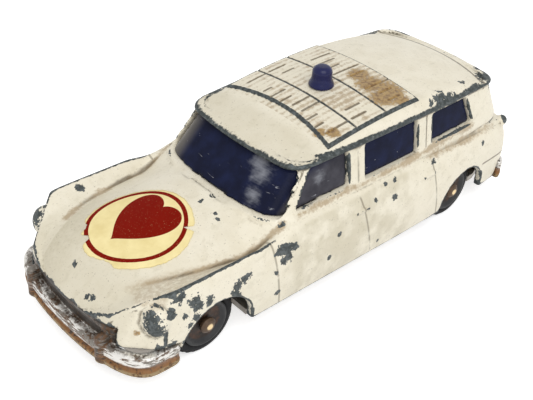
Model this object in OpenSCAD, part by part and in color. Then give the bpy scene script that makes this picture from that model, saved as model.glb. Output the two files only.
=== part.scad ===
// Toy ambulance on an estate car: a cast body over a riveted base, running on two free axles.
// Frame: +X to the nose, +Y to the left side, +Z up, origin on the ground under the middle.

/* [Overall] */
// Length over both bumpers
overall_l = 68; // [66:0.5:71]
// Greatest width of the cast body
body_w = 24.6; // [24:0.1:26]
// Height of the lower edge of the sides above the ground
sill_z = 3; // [2.8:0.05:3.3]
// Wall of the casting
wall = 1.1; // [0.9:0.05:1.2]

/* [Bonnet and wings] */
// Length of the bonnet, from the nose to the foot of the windscreen at its middle
bonnet_l = 19.4; // [18.8:0.1:20]
// Height of the bonnet at the foot of the windscreen
cowl_z = 14.1; // [13.9:0.05:14.3]
// Fall of the bonnet line from the windscreen to the nose, before the nose rounds over
bonnet_fall = 3.2; // [2.6:0.1:3.6]
// Further drop of the rounded nose
nose_drop = 2.5; // [2:0.1:2.8]
// Height of the valley between bonnet and wing
valley_z = 10.8; // [10.5:0.05:11.1]
// Rise of the wing's ridge above the valley
ridge_rise = 0.8; // [0.5:0.05:1]
// Distance of the valley from the widest line of the side
valley_in = 2.2; // [1.9:0.05:2.5]
// Distance of the wing's ridge from the widest line of the side
ridge_in = 1.3; // [1:0.05:1.5]
// Height of the widest line of the side
waist_z = 7.2; // [6.8:0.1:7.8]
// Tuck-in of the side at the sill
sill_tuck = 0.35; // [0.1:0.05:0.6]

/* [Tail] */
// Draw-in of each side at the tail
tail_taper = 1.3; // [0.9:0.1:1.6]
// Fall of the rear shoulder from the doors to the tail
shoulder_fall = 1.7; // [1.3:0.1:2]
// Drop of the rounded tail end
tail_drop = 1.2; // [0.8:0.1:1.6]

/* [Cabin] */
// Height of the belt, where the windows stand on the body
belt_z = 13.6; // [13.4:0.05:13.8]
// Distance of the cabin's side at the belt from the widest line of the body
cabin_in = 1.6; // [1.4:0.05:1.9]
// Lean of the cabin's side from the belt to the gutters
gutter_in = 0.85; // [0.6:0.05:1.1]
// Height of the gutters above the ground
gutter_z = 18.85; // [18.6:0.05:19.1]
// Ledge of the gutter
gutter_out = 0.2; // [0.1:0.05:0.3]
// Greatest height of the roof
roof_z = 21.15; // [20.8:0.05:21.5]
// Place of the highest point of the roof along the car
roof_peak_x = -11; // [-13:0.5:-9]
// Run of the windscreen along the car, from its foot to the front edge of the roof
screen_run = 5.2; // [4.8:0.1:5.6]
// Run of the tailgate along the car, from its foot to the rear edge of the roof
tailgate_run = 2.6; // [2.2:0.1:3]
// Drop of the roof from its highest point to the front edge
roof_front_drop = 2.2; // [1.9:0.05:2.5]
// Drop of the roof from its highest point to the rear edge
roof_rear_drop = 2.2; // [2:0.05:2.5]
// Drop of the roof's crown from the middle to the sides
roof_crown = 0.9; // [0.6:0.05:1.2]
// Distance of the tailgate's foot from the tail, at its middle
tailgate_in = 2.9; // [2.5:0.1:3.3]
// Bow of the windscreen's foot, seen from above
windscreen_bow = 2.6; // [2:0.1:3.2]

/* [Windows] */
// Lower edge of the side windows
window_z = 13.8; // [13.6:0.05:14]
// Height of the side windows
window_h = 4.55; // [4.2:0.05:4.6]
// Corner radius of the windows
window_r = 0.45; // [0.3:0.05:0.6]
// Middle of the pillar between the two doors
door_pillar_x = -1.1; // [-1.6:0.1:-0.6]
// Middle of the pillar behind the rear door
rear_pillar_x = -13.3; // [-13.8:0.1:-12.8]
// Width of the two side pillars
pillar_w = 2.9; // [2.5:0.1:3.3]

/* [Roof rack] */
// Distance of the rack's front edge from the front edge of the roof
rack_back = 6; // [5:0.1:7]
// Length of the rack
rack_l = 15.4; // [14:0.1:16]
// Distance of the rack's sides from the gutters
rack_in = 1.05; // [0.95:0.05:1.5]
// Height of the rack above the roof
rack_h = 0.25; // [0.15:0.05:0.4]
// Number of planks across the rack
plank_count = 10; // [8:1:12]
// Gap between two planks
plank_gap = 0.22; // [0.15:0.01:0.3]

/* [Beacon] */
// Place of the beacon along the car
beacon_x = -4.4; // [-5.2:0.1:-3.6]
// Diameter of the beacon's dome
beacon_d = 2.3; // [2:0.05:2.6]
// Diameter of the beacon's foot
beacon_foot_d = 3.2; // [2.8:0.05:3.6]
// Height of the beacon above the roof
beacon_h = 2.5; // [2.3:0.05:3]

/* [Wheels] */
// Distance of the front axle from the nose
front_overhang = 11.9; // [11.5:0.1:12.3]
// Distance of the rear axle from the tail
rear_overhang = 12.2; // [11.8:0.1:12.6]
// Diameter of the tyres
tyre_d = 8.6; // [8.2:0.05:9]
// Width of the tyres
tyre_w = 2.6; // [2.2:0.05:2.8]
// Diameter of the wheel under the tyre
hub_d = 6; // [5.6:0.05:6.4]
// Diameter of the axles
axle_d = 1.2; // [1:0.05:1.4]
// Radius of the wheel arches
arch_r = 5; // [4.8:0.05:5.3]
// Height of the centre of the wheel arches
arch_z = 3.3; // [3:0.05:3.6]
// Gap from the tyre's outer face to the inside of the body
wheel_gap = 1; // [0.6:0.05:1.2]

/* [Bumpers] */
// Lower edge of the bumpers
bumper_z = 2.6; // [2.4:0.05:2.9]
// Top of the bumpers, where the wings stand on them
bumper_top_z = 5.5; // [5.2:0.05:5.8]
// Lower lip of the bonnet, above the grille
lip_z = 8; // [7.7:0.05:8.3]
// Reach of the front bumper past the nose
bumper_out = 0.4; // [0.3:0.05:0.6]
// Distance of the sides of the grille opening from the widest line of the body
grille_side = 4; // [3.7:0.1:4.5]

/* [Base] */
// Thickness of the base plate
base_t = 0.8; // [0.6:0.05:1]
// Diameter of the rivets that hold the base
rivet_d = 1.4; // [1.2:0.05:1.6]

/* [Label] */
// Distance of the label's middle from the nose
label_back = 10.2; // [9.8:0.1:10.8]
// Diameter of the label
label_d = 13; // [11:0.1:13.4]
// Thickness of the label
label_t = 0.1; // [0.06:0.01:0.16]

/* [Fits] */
// Radial play of the axles in their bearings and of the wheels on the axles
axle_play = 0.05; // [0.02:0.01:0.09]
// Gap between the glazing and the cabin
glazing_gap = 0.2; // [0.16:0.02:0.26]
// Wall of the glazing
glazing_t = 0.6; // [0.45:0.05:0.7]
// Gap round the base, the bumpers and the rivets
seat_gap = 0.15; // [0.1:0.01:0.2]

/* [Hidden] */

cream = [0.93, 0.90, 0.82];
plated = [0.62, 0.58, 0.52];
blue = [0.10, 0.11, 0.30];
rust = [0.25, 0.17, 0.12];

half_max = body_w/2;
rear_bumper_out = 0.9;
nose_x = overall_l/2 - bumper_out;
tail_x = rear_bumper_out - overall_l/2;
end_cut = 0.15; // the lofted ends stop this far short of their tips
end_inset = 1.3; // walls at the two ends are thicker than at the sides by this factor
front_axle_x = nose_x - front_overhang;
rear_axle_x = tail_x + rear_overhang;
axle_z = tyre_d/2;
cowl_x = nose_x - bonnet_l;
roof_front_x = cowl_x - screen_run;
tailgate_x = tail_x + tailgate_in;
roof_rear_x = tailgate_x + tailgate_run;
cabin_w = body_w - 2*cabin_in;
gutter_w = cabin_w - 2*gutter_in;
far = 2*overall_l; // longer than anything here

function unit(v) = min(1, max(0, v));
function ease(v) = let (t = unit(v)) t*t*(3 - 2*t);
function mix(a, b, t) = a + (b - a)*t;

// Lower body: plan and height lines along the car
nose_round_x = nose_x - 11.6;
nose_power = 5;
tail_round_x = tail_x + 13.1;
tail_power = 18;
taper_x = tail_x + 25.1;
nose_bend_x = nose_x - 7.6;
nose_bend = 2.5;
tail_bend = 5;
wing_end_x = cowl_x - 5.2;
wing_fade_l = 7;
door_valley_in = 1.75;
door_shoulder = 0.7;
shoulder_x = tail_x + 21.1;

function half_w(x) =
    let (u = unit((x - nose_round_x)/(nose_x - nose_round_x)),
         v = unit((tail_round_x - x)/(tail_round_x - tail_x)),
         t = unit((taper_x - x)/(taper_x - tail_x)))
    (half_max - tail_taper*t*t)*sqrt(1 - pow(u, nose_power))*sqrt(1 - pow(v, tail_power));

function nose_share(x) = pow(unit((x - nose_bend_x)/(nose_x - nose_bend_x)), nose_bend);
function tail_share(x) = pow(unit((tail_round_x - x)/(tail_round_x - tail_x)), tail_bend);
function shoulder_z(x) =
    belt_z - shoulder_fall*unit((shoulder_x - x)/(shoulder_x - tail_x)) - tail_drop*tail_share(x);
function bonnet_z(x) =
    cowl_z - bonnet_fall*max(0, (x - cowl_x)/(nose_x - cowl_x)) - nose_drop*nose_share(x);
function top_z(x) = min(bonnet_z(x), shoulder_z(x) + cowl_z - belt_z);
function door_share(x) = ease((wing_end_x + wing_fade_l - x)/wing_fade_l);
function valley_at(x) =
    let (d = door_share(x), w = half_w(x)/half_max)
    [w*(half_max - mix(valley_in, door_valley_in, d)),
     mix(valley_z - (nose_drop + ridge_rise)*nose_share(x), shoulder_z(x), d)];
function ridge_at(x) =
    let (d = door_share(x), w = half_w(x)/half_max)
    [w*(half_max - ridge_in), valley_at(x)[1] + mix(ridge_rise, -door_shoulder, d)];

// Height of the bonnet at a place on it
function bonnet_at(x, y) =
    let (v = valley_at(x), t = top_z(x)) t - (t - v[1])*pow(y/v[0], 2);

// Left half of a cross-section of the lower body, from the middle of the top down to the sill
top_n = 6;
rise_n = 3;
side_n = 6;
low_n = 3;
function half_section(x, inset, floor_z) =
    let (v = valley_at(x), r = ridge_at(x), w = half_w(x), k = (w - inset)/w)
    concat(
        [for (i = [0:top_n]) let (y = v[0]*i/top_n) [k*y, bonnet_at(x, y) - inset]],
        [for (i = [1:rise_n]) let (t = i/rise_n) [k*mix(v[0], r[0], t), mix(v[1], r[1], ease(t)) - inset]],
        [for (i = [1:side_n]) let (a = 90*i/side_n)
            [k*mix(r[0], w, sin(a)), mix(waist_z, r[1] - inset, cos(a))]],
        [for (i = [1:low_n]) let (t = i/low_n)
            [k*(w - sill_tuck*t*t), mix(waist_z, floor_z, t)]]);
function mirrored(half, first) =
    [for (i = [len(half) - 1:-1:first]) [-half[i][0], half[i][1]]];
function section(x, inset, floor_z) =
    let (half = half_section(x, inset, floor_z)) concat(half, mirrored(half, 1));

// Faces of a closed skin over loops of n points each, with its two ends closed
function skin_faces(n, loops) = concat(
    [for (i = [0:loops - 2], j = [0:n - 1]) let (a = i*n + j, b = i*n + (j + 1)%n)
        each [[a, a + n, b], [b, a + n, b + n]]],
    [[for (j = [0:n - 1]) j]],
    [[for (j = [n - 1:-1:0]) (loops - 1)*n + j]]);

outer_stations = 33;
inner_stations = 15;
module lower_body(inset, floor_z, stations) {
    x0 = nose_x - end_cut - end_inset*inset;
    x1 = tail_x + end_cut + end_inset*inset;
    xs = [for (i = [0:stations]) mix(x0, x1, (1 - cos(180*i/stations))/2)];
    points = [for (x = xs) let (s = section(x, inset, floor_z)) each [for (p = s) [x, p[0], p[1]]]];
    polyhedron(points, skin_faces(2*(top_n + rise_n + side_n + low_n) + 1, stations + 1), convexity = 10);
}

// Cabin: plan outlines at the belt and at the gutter, and the roof over them
flat_n = 3;
corner_n = 4;
long_n = 5;
tailgate_bow = 0.8;
roof_bow = 1;
front_corner_r = 1.6;
rear_corner_r = 2;
barrel = 0.05;
gutter_drop = 0.2;
roof_edge = 0.08;
cabin_sink = 1;

function outline_half(front, rear, half, bow_f, bow_r) =
    let (flat_f = half - front_corner_r, flat_r = half - rear_corner_r,
         fx = [for (i = [0:corner_n]) let (a = 90*i/corner_n, y = flat_f + front_corner_r*sin(a))
             [front - bow_f*pow(y/half, 2) - front_corner_r*(1 - cos(a)), y]],
         rx = [for (i = [corner_n:-1:0]) let (a = 90*i/corner_n, y = flat_r + rear_corner_r*sin(a))
             [rear + bow_r*pow(y/half, 2) + rear_corner_r*(1 - cos(a)), y]])
    concat(
        [for (i = [0:flat_n - 1]) let (y = flat_f*i/flat_n) [front - bow_f*pow(y/half, 2), y]],
        fx,
        [for (i = [1:long_n - 1]) [mix(fx[corner_n][0], rx[0][0], i/long_n), half]],
        rx,
        [for (i = [flat_n - 1:-1:0]) let (y = flat_r*i/flat_n) [rear + bow_r*pow(y/half, 2), y]]);
function outline(front, rear, half, bow_f, bow_r) =
    let (h = outline_half(front, rear, half, bow_f, bow_r), mid = (front + rear)/2, l = (front - rear)/2,
         b = [for (p = h) [p[0], p[1]*(1 - barrel*pow((p[0] - mid)/l, 2))]],
         n = len(b))
    concat(b, [for (i = [n - 2:-1:1]) [b[i][0], -b[i][1]]]);
function belt_outline(inset) =
    outline(cowl_x - inset, tailgate_x + inset, cabin_w/2 - inset, windscreen_bow, tailgate_bow);
function gutter_outline(inset) =
    outline(roof_front_x - inset, roof_rear_x + inset, gutter_w/2 - inset, roof_bow, roof_bow);

roof_mid_x = (roof_front_x + roof_rear_x)/2;
function gutter_at(x) = gutter_z - gutter_drop*pow((x - roof_mid_x)/(roof_front_x - roof_mid_x), 4);
function roof_at(x, y) =
    let (drop = x > roof_peak_x
            ? roof_front_drop*pow((x - roof_peak_x)/(roof_front_x - roof_peak_x), 2)
            : roof_rear_drop*pow((x - roof_peak_x)/(roof_rear_x - roof_peak_x), 2))
    roof_z - drop - roof_crown*pow(2*y/gutter_w, 2);

// Loops of the cabin from its foot to the middle of the roof
wall_steps = [0, 0.33, 0.66, 0.93];
edge_steps = [0, 45, 90];
roof_steps = [0.7, 0.4, 0.12];
function cabin_loops(inset, foot_z, ledge) =
    let (b = belt_outline(inset), g = gutter_outline(inset), lg = gutter_outline(inset - ledge), n = len(b),
         at = function (p, s, f)
             let (x = roof_mid_x + (p[0] - roof_mid_x)*s, y = p[1]*s, z0 = gutter_at(p[0]))
             [x, y, mix(z0, roof_at(x, y) - inset, f)])
    concat(
        [[for (p = b) [p[0], p[1], foot_z]]],
        [for (h = wall_steps) [for (j = [0:n - 1])
            [mix(b[j][0], g[j][0], h), mix(b[j][1], g[j][1], h), mix(belt_z, gutter_at(g[j][0]), h)]]],
        [for (drop = ledge > 0 ? [ledge, 0] : []) [for (p = lg) [p[0], p[1], gutter_at(p[0]) - drop]]],
        [for (a = edge_steps) [for (p = g) at(p, 1 - roof_edge*(1 - cos(a)), sin(a))]],
        [for (s = roof_steps) [for (p = g) at(p, (1 - roof_edge)*s, 1)]]);
function loop_points(loops) = [for (l = loops) each l];

module cabin(inset, foot_z, ledge) {
    loops = cabin_loops(inset, foot_z, ledge);
    polyhedron(loop_points(loops), skin_faces(len(loops[0]), len(loops)), convexity = 10);
}

// Upright prism with rounded corners through [along, up] corners, run across the car
prism_facets = 14;
module side_prism(corners, r, y0, y1) {
    hull() for (c = corners)
        translate([c[0], y1, c[1]]) rotate([90, 0, 0]) cylinder(r = r, h = y1 - y0, $fn = prism_facets);
}
module end_prism(corners, r, x0, x1) {
    hull() for (c = corners)
        translate([x0, c[0], c[1]]) rotate([0, 90, 0]) cylinder(r = r, h = x1 - x0, $fn = prism_facets);
}

windscreen_lean = 3; // lean of the front door's window
windscreen_post_w = 1.6;
quarter_post_w = 5;
quarter_rise = 0.3;
quarter_lean = 1.2;
gate_post_w = 0.95;
gate_lean = 0.4;
glass_reach = 4; // how far the holes in the ends reach into the cabin
module window_holes() {
    low = window_z + window_r;
    high = window_z + window_h - window_r;
    half_pillar = pillar_w/2 + window_r;
    front_low_x = cowl_x - windscreen_bow - front_corner_r - windscreen_post_w;
    rear_low_x = tailgate_x + rear_corner_r + quarter_post_w;
    quarter_low = low + quarter_rise;
    side_prism([[front_low_x, low], [front_low_x - windscreen_lean, high],
        [door_pillar_x + half_pillar, low], [door_pillar_x + half_pillar, high]], window_r, -body_w, body_w);
    side_prism([[door_pillar_x - half_pillar, low], [door_pillar_x - half_pillar, high],
        [rear_pillar_x + half_pillar, low], [rear_pillar_x + half_pillar, high]], window_r, -body_w, body_w);
    side_prism([[rear_pillar_x - half_pillar, quarter_low], [rear_pillar_x - half_pillar, high],
        [rear_low_x, quarter_low], [rear_low_x + quarter_lean, high]], window_r, -body_w, body_w);
    screen_low = cabin_w/2 - front_corner_r;
    screen_high = gutter_w/2 - front_corner_r;
    end_prism([for (s = [-1, 1]) each [[s*screen_low, cowl_z + window_r], [s*screen_high, high]]],
        window_r, roof_front_x - glass_reach, cowl_x + wall);
    gate_low = cabin_w/2 - rear_corner_r - gate_post_w;
    gate_high = gutter_w/2 - rear_corner_r - gate_post_w/2;
    end_prism([for (s = [-1, 1]) each [[s*gate_low, low], [s*gate_high, high - gate_lean]]],
        window_r, tailgate_x - wall, roof_rear_x + glass_reach);
}

// Lamps in the rounded front corners: a shallow bowl with a large dome and a small one
lamp_n = [0.73, 0.66, 0.18]; // the way the left lamp looks
lamp_r = 1.6;
lamp_rim = 0.5;
lamp_at = [nose_x - 4.2, half_max - 0.75, 9.3];
small_lamp_r = 0.9;
small_lamp_at = [nose_x - 2.4, half_max - 2.1, 7.6];
bowl_depth = 0.55;
lamp_facets = 12;
module lamp_bowls() {
    big_r = lamp_r + lamp_rim;
    small_r = small_lamp_r + lamp_rim;
    for (s = [-1, 1]) scale([1, s, 1]) hull() {
        translate(lamp_at + (big_r - bowl_depth)*lamp_n) sphere(r = big_r, $fn = lamp_facets);
        translate(small_lamp_at + (small_r - bowl_depth)*lamp_n) sphere(r = small_r, $fn = lamp_facets);
    }
}
module lamp_domes() {
    for (s = [-1, 1]) scale([1, s, 1]) {
        translate(lamp_at - lamp_r*lamp_n) sphere(r = lamp_r, $fn = lamp_facets);
        translate(small_lamp_at - (small_lamp_r + bowl_depth/2)*lamp_n)
            sphere(r = small_lamp_r, $fn = lamp_facets);
    }
}

// Rack cast on the roof: planks with gaps between them, and two bars across
rack_front_x = roof_front_x - rack_back;
rack_rear_x = rack_front_x - rack_l;
rack_w = gutter_w - 2*rack_in;
bar_w = 0.4;
bar_rise = 0.12;
rack_sink = 0.5;
rack_floor = 0.02; // bottom of the gaps, above the roof
bay_n = 3;
bay_steps = 2;
function rack_section(planks) =
    let (half = rack_w/2, pitch = rack_w/planks)
    concat(
        [for (i = [0:planks - 1]) let (a = i*pitch - half + (i > 0 ? plank_gap : 0), b = (i + 1)*pitch - half)
            each [
                if (i > 0) [a, rack_floor],
                [a, rack_h],
                [b, rack_h],
                if (i < planks - 1) [b, rack_floor]]],
        [[half, -rack_sink], [-half, -rack_sink]]);
module rack_strip(xs, planks, rise) {
    rings = [for (x = xs) [for (p = rack_section(planks))
        [x, p[0], roof_at(x, p[0]) + p[1] + (p[1] > rack_floor ? rise : 0)]]];
    polyhedron(loop_points(rings), skin_faces(len(rings[0]), len(xs)), convexity = 10);
}
module rack() {
    n = bay_n*bay_steps;
    rack_strip([for (i = [0:n]) mix(rack_front_x, rack_rear_x, i/n)], plank_count, 0);
    for (i = [1:bay_n - 1]) let (x = mix(rack_rear_x, rack_front_x, i/bay_n))
        rack_strip([x + bar_w/2, x - bar_w/2], 1, bar_rise);
}

// Door handles on both sides
handle_l = 2;
handle_z = 10.7;
handle_r = 0.55;
handle_in = 0.5; // from the widest line of the side to the middle of the handle
module handles() {
    for (x = [door_pillar_x, rear_pillar_x], s = [-1, 1])
        hull() for (end = [-1, 1])
            translate([x + end*handle_l/2, s*(half_max - handle_in), handle_z])
                sphere(r = handle_r, $fn = 10);
}

// Posts inside, which the rivets hold to the base
post_d = 3;
front_post_x = nose_x - 5.2;
rear_post_x = tail_x + 3.8;
base_z = sill_z - base_t/2;
base_top_z = base_z + base_t;
rivet_l = 3.5;
module posts() {
    for (x = [front_post_x, rear_post_x])
        translate([x, 0, base_top_z]) cylinder(d = post_d, h = top_z(x) - wall/2 - base_top_z, $fn = 20);
}
module rivet_holes() {
    for (x = [front_post_x, rear_post_x])
        translate([x, 0, base_z])
            cylinder(d = rivet_d + 2*seat_gap, h = base_t + rivet_l + seat_gap, $fn = 24);
}

module body_shell() color(cream) difference() {
    union() {
        difference() {
            union() {
                lower_body(0, sill_z, outer_stations);
                cabin(0, belt_z - cabin_sink, gutter_out);
                rack();
                handles();
            }
            lower_body(wall, sill_z - wall, inner_stations);
            cabin(wall, belt_z - 2*wall, 0);
            window_holes();
            lamp_bowls();
        }
        intersection() {
            lamp_domes();
            lower_body(0, sill_z, outer_stations);
        }
        posts();
    }
    rivet_holes();
    for (x = [front_axle_x, rear_axle_x]) translate([x, -body_w, arch_z]) rotate([-90, 0, 0])
        cylinder(r = arch_r, h = 2*body_w, $fn = 48);
    moulding(function (a) nose_plan(a), seat_profile, front_reach + seat_turn);
    moulding(function (a) tail_plan(a), seat_profile, rear_reach + seat_turn);
    translate([nose_x - grille_depth, -grille_half, 0]) cube([far, 2*grille_half, lip_z]);
    translate([beacon_x, 0, belt_z]) cylinder(d = stem_d + 2*seat_gap, h = far, $fn = 24);
}

// Plan curve of the nose and of the tail, as [point, outward direction] at an angle from the middle
function nose_plan(a) =
    let (u = pow(cos(a), 2/nose_power), l = nose_x - nose_round_x, y = half_max*sin(a),
         g = [nose_power*pow(u, nose_power - 1)/l, 2*y/pow(half_max, 2)])
    [[nose_round_x + l*u, y], g/norm(g)];
tail_half = half_max - tail_taper;
function tail_plan(a) =
    let (u = pow(cos(a), 2/tail_power), l = tail_round_x - tail_x, y = -tail_half*sin(a),
         g = [-tail_power*pow(u, tail_power - 1)/l, 2*y/pow(tail_half, 2)])
    [[tail_round_x - l*u, y], g/norm(g)];

// A moulding with one outline of [outward, up] points, swept along a plan curve
module moulding(plan, profile, reach) {
    steps = 36;
    rings = [for (i = [0:steps]) let (c = plan(mix(reach, -reach, i/steps)))
        [for (p = profile) [c[0][0] + p[0]*c[1][0], c[0][1] + p[0]*c[1][1], p[1]]]];
    polyhedron(loop_points(rings), skin_faces(len(profile), steps + 1), convexity = 6);
}

// The room that the body leaves for a bumper
seat_turn = 1.5;
seat_in = end_cut + end_inset*wall + seat_gap;
seat_top_z = bumper_top_z + seat_gap;
seat_profile = [[-seat_in, 0], [wall, 0], [wall, seat_top_z], [-seat_in, seat_top_z]];

// Bumpers: a rounded blade below, a groove and a flatter band above
blade_h = 1.7;
blade_top_z = bumper_z + blade_h;
blade_round = 0.3;
groove_h = 0.3;
groove_in = 0.2;
front_reach = 80;
rear_reach = 66;
function bumper_profile(out) =
    let (band = 0.3*out, band_z = blade_top_z + groove_h)
    [[-wall, bumper_z + blade_round], [0, bumper_z], [0.8*out, bumper_z + blade_round],
     [out, bumper_z + blade_h/2], [0.7*out, blade_top_z - blade_round/3], [-groove_in, blade_top_z],
     [-groove_in, band_z], [band, band_z + blade_round/3], [band, bumper_top_z - blade_round],
     [-groove_in/2, bumper_top_z], [-wall, bumper_top_z]];
grille_half = half_max - grille_side;
grille_depth = 3.2;
grille_in = 0.7; // from the nose back to the grille
grille_t = 1.5;
overrider_y = grille_half - 1.1;
overrider_r = 0.75;
overrider_top_z = 6.9;
plate_w = 6.4;
plate_grip = 0.2; // lap of the number plate over the blade and the band
module front_bumper() color(plated) {
    moulding(function (a) nose_plan(a), bumper_profile(bumper_out), front_reach);
    back = -grille_in - grille_t;
    low = bumper_top_z - blade_round;
    high = lip_z - seat_gap;
    moulding(function (a) nose_plan(a), [[back, low], [-grille_in, low], [-grille_in, high], [back, high]],
        asin((grille_half - seat_gap)/half_max));
    overrider_z = bumper_z + blade_h/2;
    for (s = [-1, 1]) {
        c = nose_plan(asin(s*overrider_y/half_max))[0];
        translate([c[0] - overrider_r + bumper_out/2, c[1], overrider_z])
            cylinder(r = overrider_r, h = overrider_top_z - overrider_z, $fn = 24);
    }
    translate([nose_x - wall, -plate_w/2, blade_top_z - plate_grip])
        cube([wall + bumper_out/2, plate_w, bumper_top_z - blade_top_z + 2*plate_grip]);
}

module rear_bumper() color(plated)
    moulding(function (a) tail_plan(a), bumper_profile(rear_bumper_out), rear_reach);

// Base: a flat plate inside the sides, cut away round the wheels, with bearing blocks for the axles
base_points_n = 20;
rivet_head_d = 2.4;
rivet_head_h = 0.3;
head_sink = 0.05; // the rivets' heads sit this far inside the face of the base
base_front_x = front_post_x + post_d/2 + seat_gap;
base_rear_x = tail_x + seat_in + seat_gap;
tyre_face_y = half_max - wall - wheel_gap;
block_w = 2;
block_gap = 1.6; // from a wheel to its bearing block
block_y = tyre_face_y - tyre_w - block_gap - block_w/2;
block_l = 2.8;
block_cover = 1; // metal over the axle in a bearing block
well_gap = 0.7;
well_half = tyre_face_y - tyre_w - well_gap;
well_l = 2*(arch_r + well_gap);
module base_plan() {
    xs = [for (i = [0:base_points_n]) mix(base_rear_x, base_front_x, (1 - cos(180*i/base_points_n))/2)];
    ys = [for (x = xs) let (end = x > front_axle_x ? 1 : x < rear_axle_x ? -1 : 0)
        half_w(x + end*seat_in) - sill_tuck - seat_gap - (end == 0 ? wall : seat_in)];
    difference() {
        polygon(concat([for (i = [0:base_points_n]) [xs[i], ys[i]]],
            [for (i = [base_points_n:-1:0]) [xs[i], -ys[i]]]));
        for (x = [front_axle_x, rear_axle_x], s = [-1, 1])
            translate([x - well_l/2, s > 0 ? well_half : -well_half - body_w]) square([well_l, body_w]);
    }
}
module base_plate() color(plated) difference() {
    union() {
        translate([0, 0, base_z]) linear_extrude(base_t) base_plan();
        for (x = [front_axle_x, rear_axle_x], s = [-1, 1])
            translate([x - block_l/2, s*block_y - block_w/2, base_top_z])
                cube([block_l, block_w, axle_z + axle_d/2 + block_cover - base_top_z]);
    }
    for (x = [front_axle_x, rear_axle_x]) translate([x, -body_w, axle_z]) rotate([-90, 0, 0])
        cylinder(d = axle_d + 2*axle_play, h = 2*body_w, $fn = 32);
    for (x = [front_post_x, rear_post_x]) translate([x, 0, base_z - base_t]) {
        cylinder(d = rivet_d + 2*seat_gap, h = 3*base_t, $fn = 24);
        cylinder(d = rivet_head_d + 2*seat_gap, h = base_t + head_sink + rivet_head_h + head_sink, $fn = 32);
    }
}
module rivet(x) color(plated) translate([x, 0, base_z + head_sink]) {
    cylinder(d = rivet_head_d, h = rivet_head_h, $fn = 32);
    cylinder(d = rivet_d, h = base_t - head_sink + rivet_l, $fn = 24);
}
module front_rivet() rivet(front_post_x);
module rear_rivet() rivet(rear_post_x);

// Glazing: one blue shell that fills the cabin and shows in every window
glazing_foot_z = belt_z - wall;
module window_glazing() color(blue) translate([0, 0, -glazing_gap]) {
    outer = cabin_loops(wall + glazing_gap, glazing_foot_z, 0);
    inner = cabin_loops(wall + glazing_gap + glazing_t, glazing_foot_z, 0);
    n = len(outer[0]);
    k = len(outer);
    skin = skin_faces(n, k);
    sides = 2*n*(k - 1);
    m = n*k;
    polyhedron(concat(loop_points(outer), loop_points(inner)),
        concat(
            [for (i = [0:sides - 1]) skin[i]], [skin[sides + 1]],
            [for (i = [0:sides - 1]) let (f = skin[i]) [m + f[2], m + f[1], m + f[0]]],
            [[for (j = [0:n - 1]) m + skin[sides + 1][n - 1 - j]]],
            [for (j = [0:n - 1]) let (b = (j + 1)%n) each [[j, b, m + j], [b, m + b, m + j]]]),
        convexity = 10);
}

// Beacon: a domed lamp on a flared foot, with a stem through the roof
stem_d = 1.6;
beacon_lift = 0.15;
foot_rim_h = 0.35;
flare_h = 0.75;
flare_n = 5;
dome_n = 8;
module roof_beacon() color(blue) {
    foot_z = roof_at(beacon_x, 0) + rack_h + beacon_lift;
    dome_r = beacon_d/2;
    foot_r = beacon_foot_d/2;
    stem = [stem_d/2, -rack_h - beacon_lift - wall];
    translate([beacon_x, 0, foot_z]) rotate_extrude($fn = 48) polygon(concat(
        [[0, stem[1]], stem, [stem_d/2, 0], [foot_r, 0]],
        [for (i = [0:flare_n]) let (a = 90*i/flare_n)
            [mix(foot_r, dome_r, sin(a)), foot_rim_h + flare_h*(1 - cos(a))]],
        [for (i = [0:dome_n]) let (a = 90*i/dome_n) [dome_r*cos(a), beacon_h - dome_r*(1 - sin(a))]]));
}

// Label: a thin round sheet lying on the bonnet
label_x = nose_x - label_back;
label_lift = 0.04;
label_rings = 6;
label_segments = 40;
module bonnet_label() color(cream) {
    flat = [for (i = [1:label_rings], j = [0:label_segments - 1])
        let (r = label_d/2*i/label_rings, a = 360*j/label_segments) [label_x + r*cos(a), r*sin(a)]];
    m = len(flat);
    low = [for (p = flat) [p[0], p[1], bonnet_at(p[0], p[1]) + label_lift]];
    high = [for (p = low) p + [0, 0, label_t]];
    mid = bonnet_at(label_x, 0) + label_lift;
    n = label_segments;
    ring_faces = concat(
        [for (j = [0:n - 1]) [2*m, j, (j + 1)%n]],
        [for (i = [0:label_rings - 2], j = [0:n - 1]) let (a = i*n + j, b = i*n + (j + 1)%n)
            each [[a, a + n, b], [b, a + n, b + n]]]);
    e = m - n;
    polyhedron(concat(low, high, [[label_x, 0, mid], [label_x, 0, mid + label_t]]), concat(
        ring_faces,
        [for (f = ring_faces) [for (i = [2:-1:0]) f[i] == 2*m ? 2*m + 1 : f[i] + m]],
        [for (j = [0:n - 1]) let (a = e + j, b = e + (j + 1)%n) each [[a, m + a, b], [b, m + a, m + b]]]));
}

// Wheels: a dished hub with a tyre on it, free on the axle, which turns in the base
hub_lip = 0.5; // width of the hub's rim, and its setback at the inner face
hub_dish = 0.7;
boss_r = 1.3;
boss_out = 0.3;
head_gap = 0.1;
head_h = 0.6;
head_d = 2;
tyre_round = 0.5;
tyre_bevel = 0.15;
rim_in = 0.2;
module axle(x) color("silver") {
    reach = tyre_face_y + boss_out + head_gap;
    translate([x, -reach, axle_z]) rotate([-90, 0, 0]) cylinder(d = axle_d, h = 2*reach, $fn = 32);
    for (s = [-1, 1]) translate([x, s*reach, axle_z]) rotate([-90*s, 0, 0])
        rotate_extrude($fn = 32) polygon([[0, 0], [head_d/2, 0], [head_d/2, 0.4*head_h],
            [0.36*head_d, 0.85*head_h], [0.15*head_d, head_h], [0, head_h]]);
}
module front_axle() axle(front_axle_x);
module rear_axle() axle(rear_axle_x);
module wheel_place(x, side) {
    translate([x, side*tyre_face_y, axle_z]) rotate([-90*side, 0, 0]) children();
}
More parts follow.
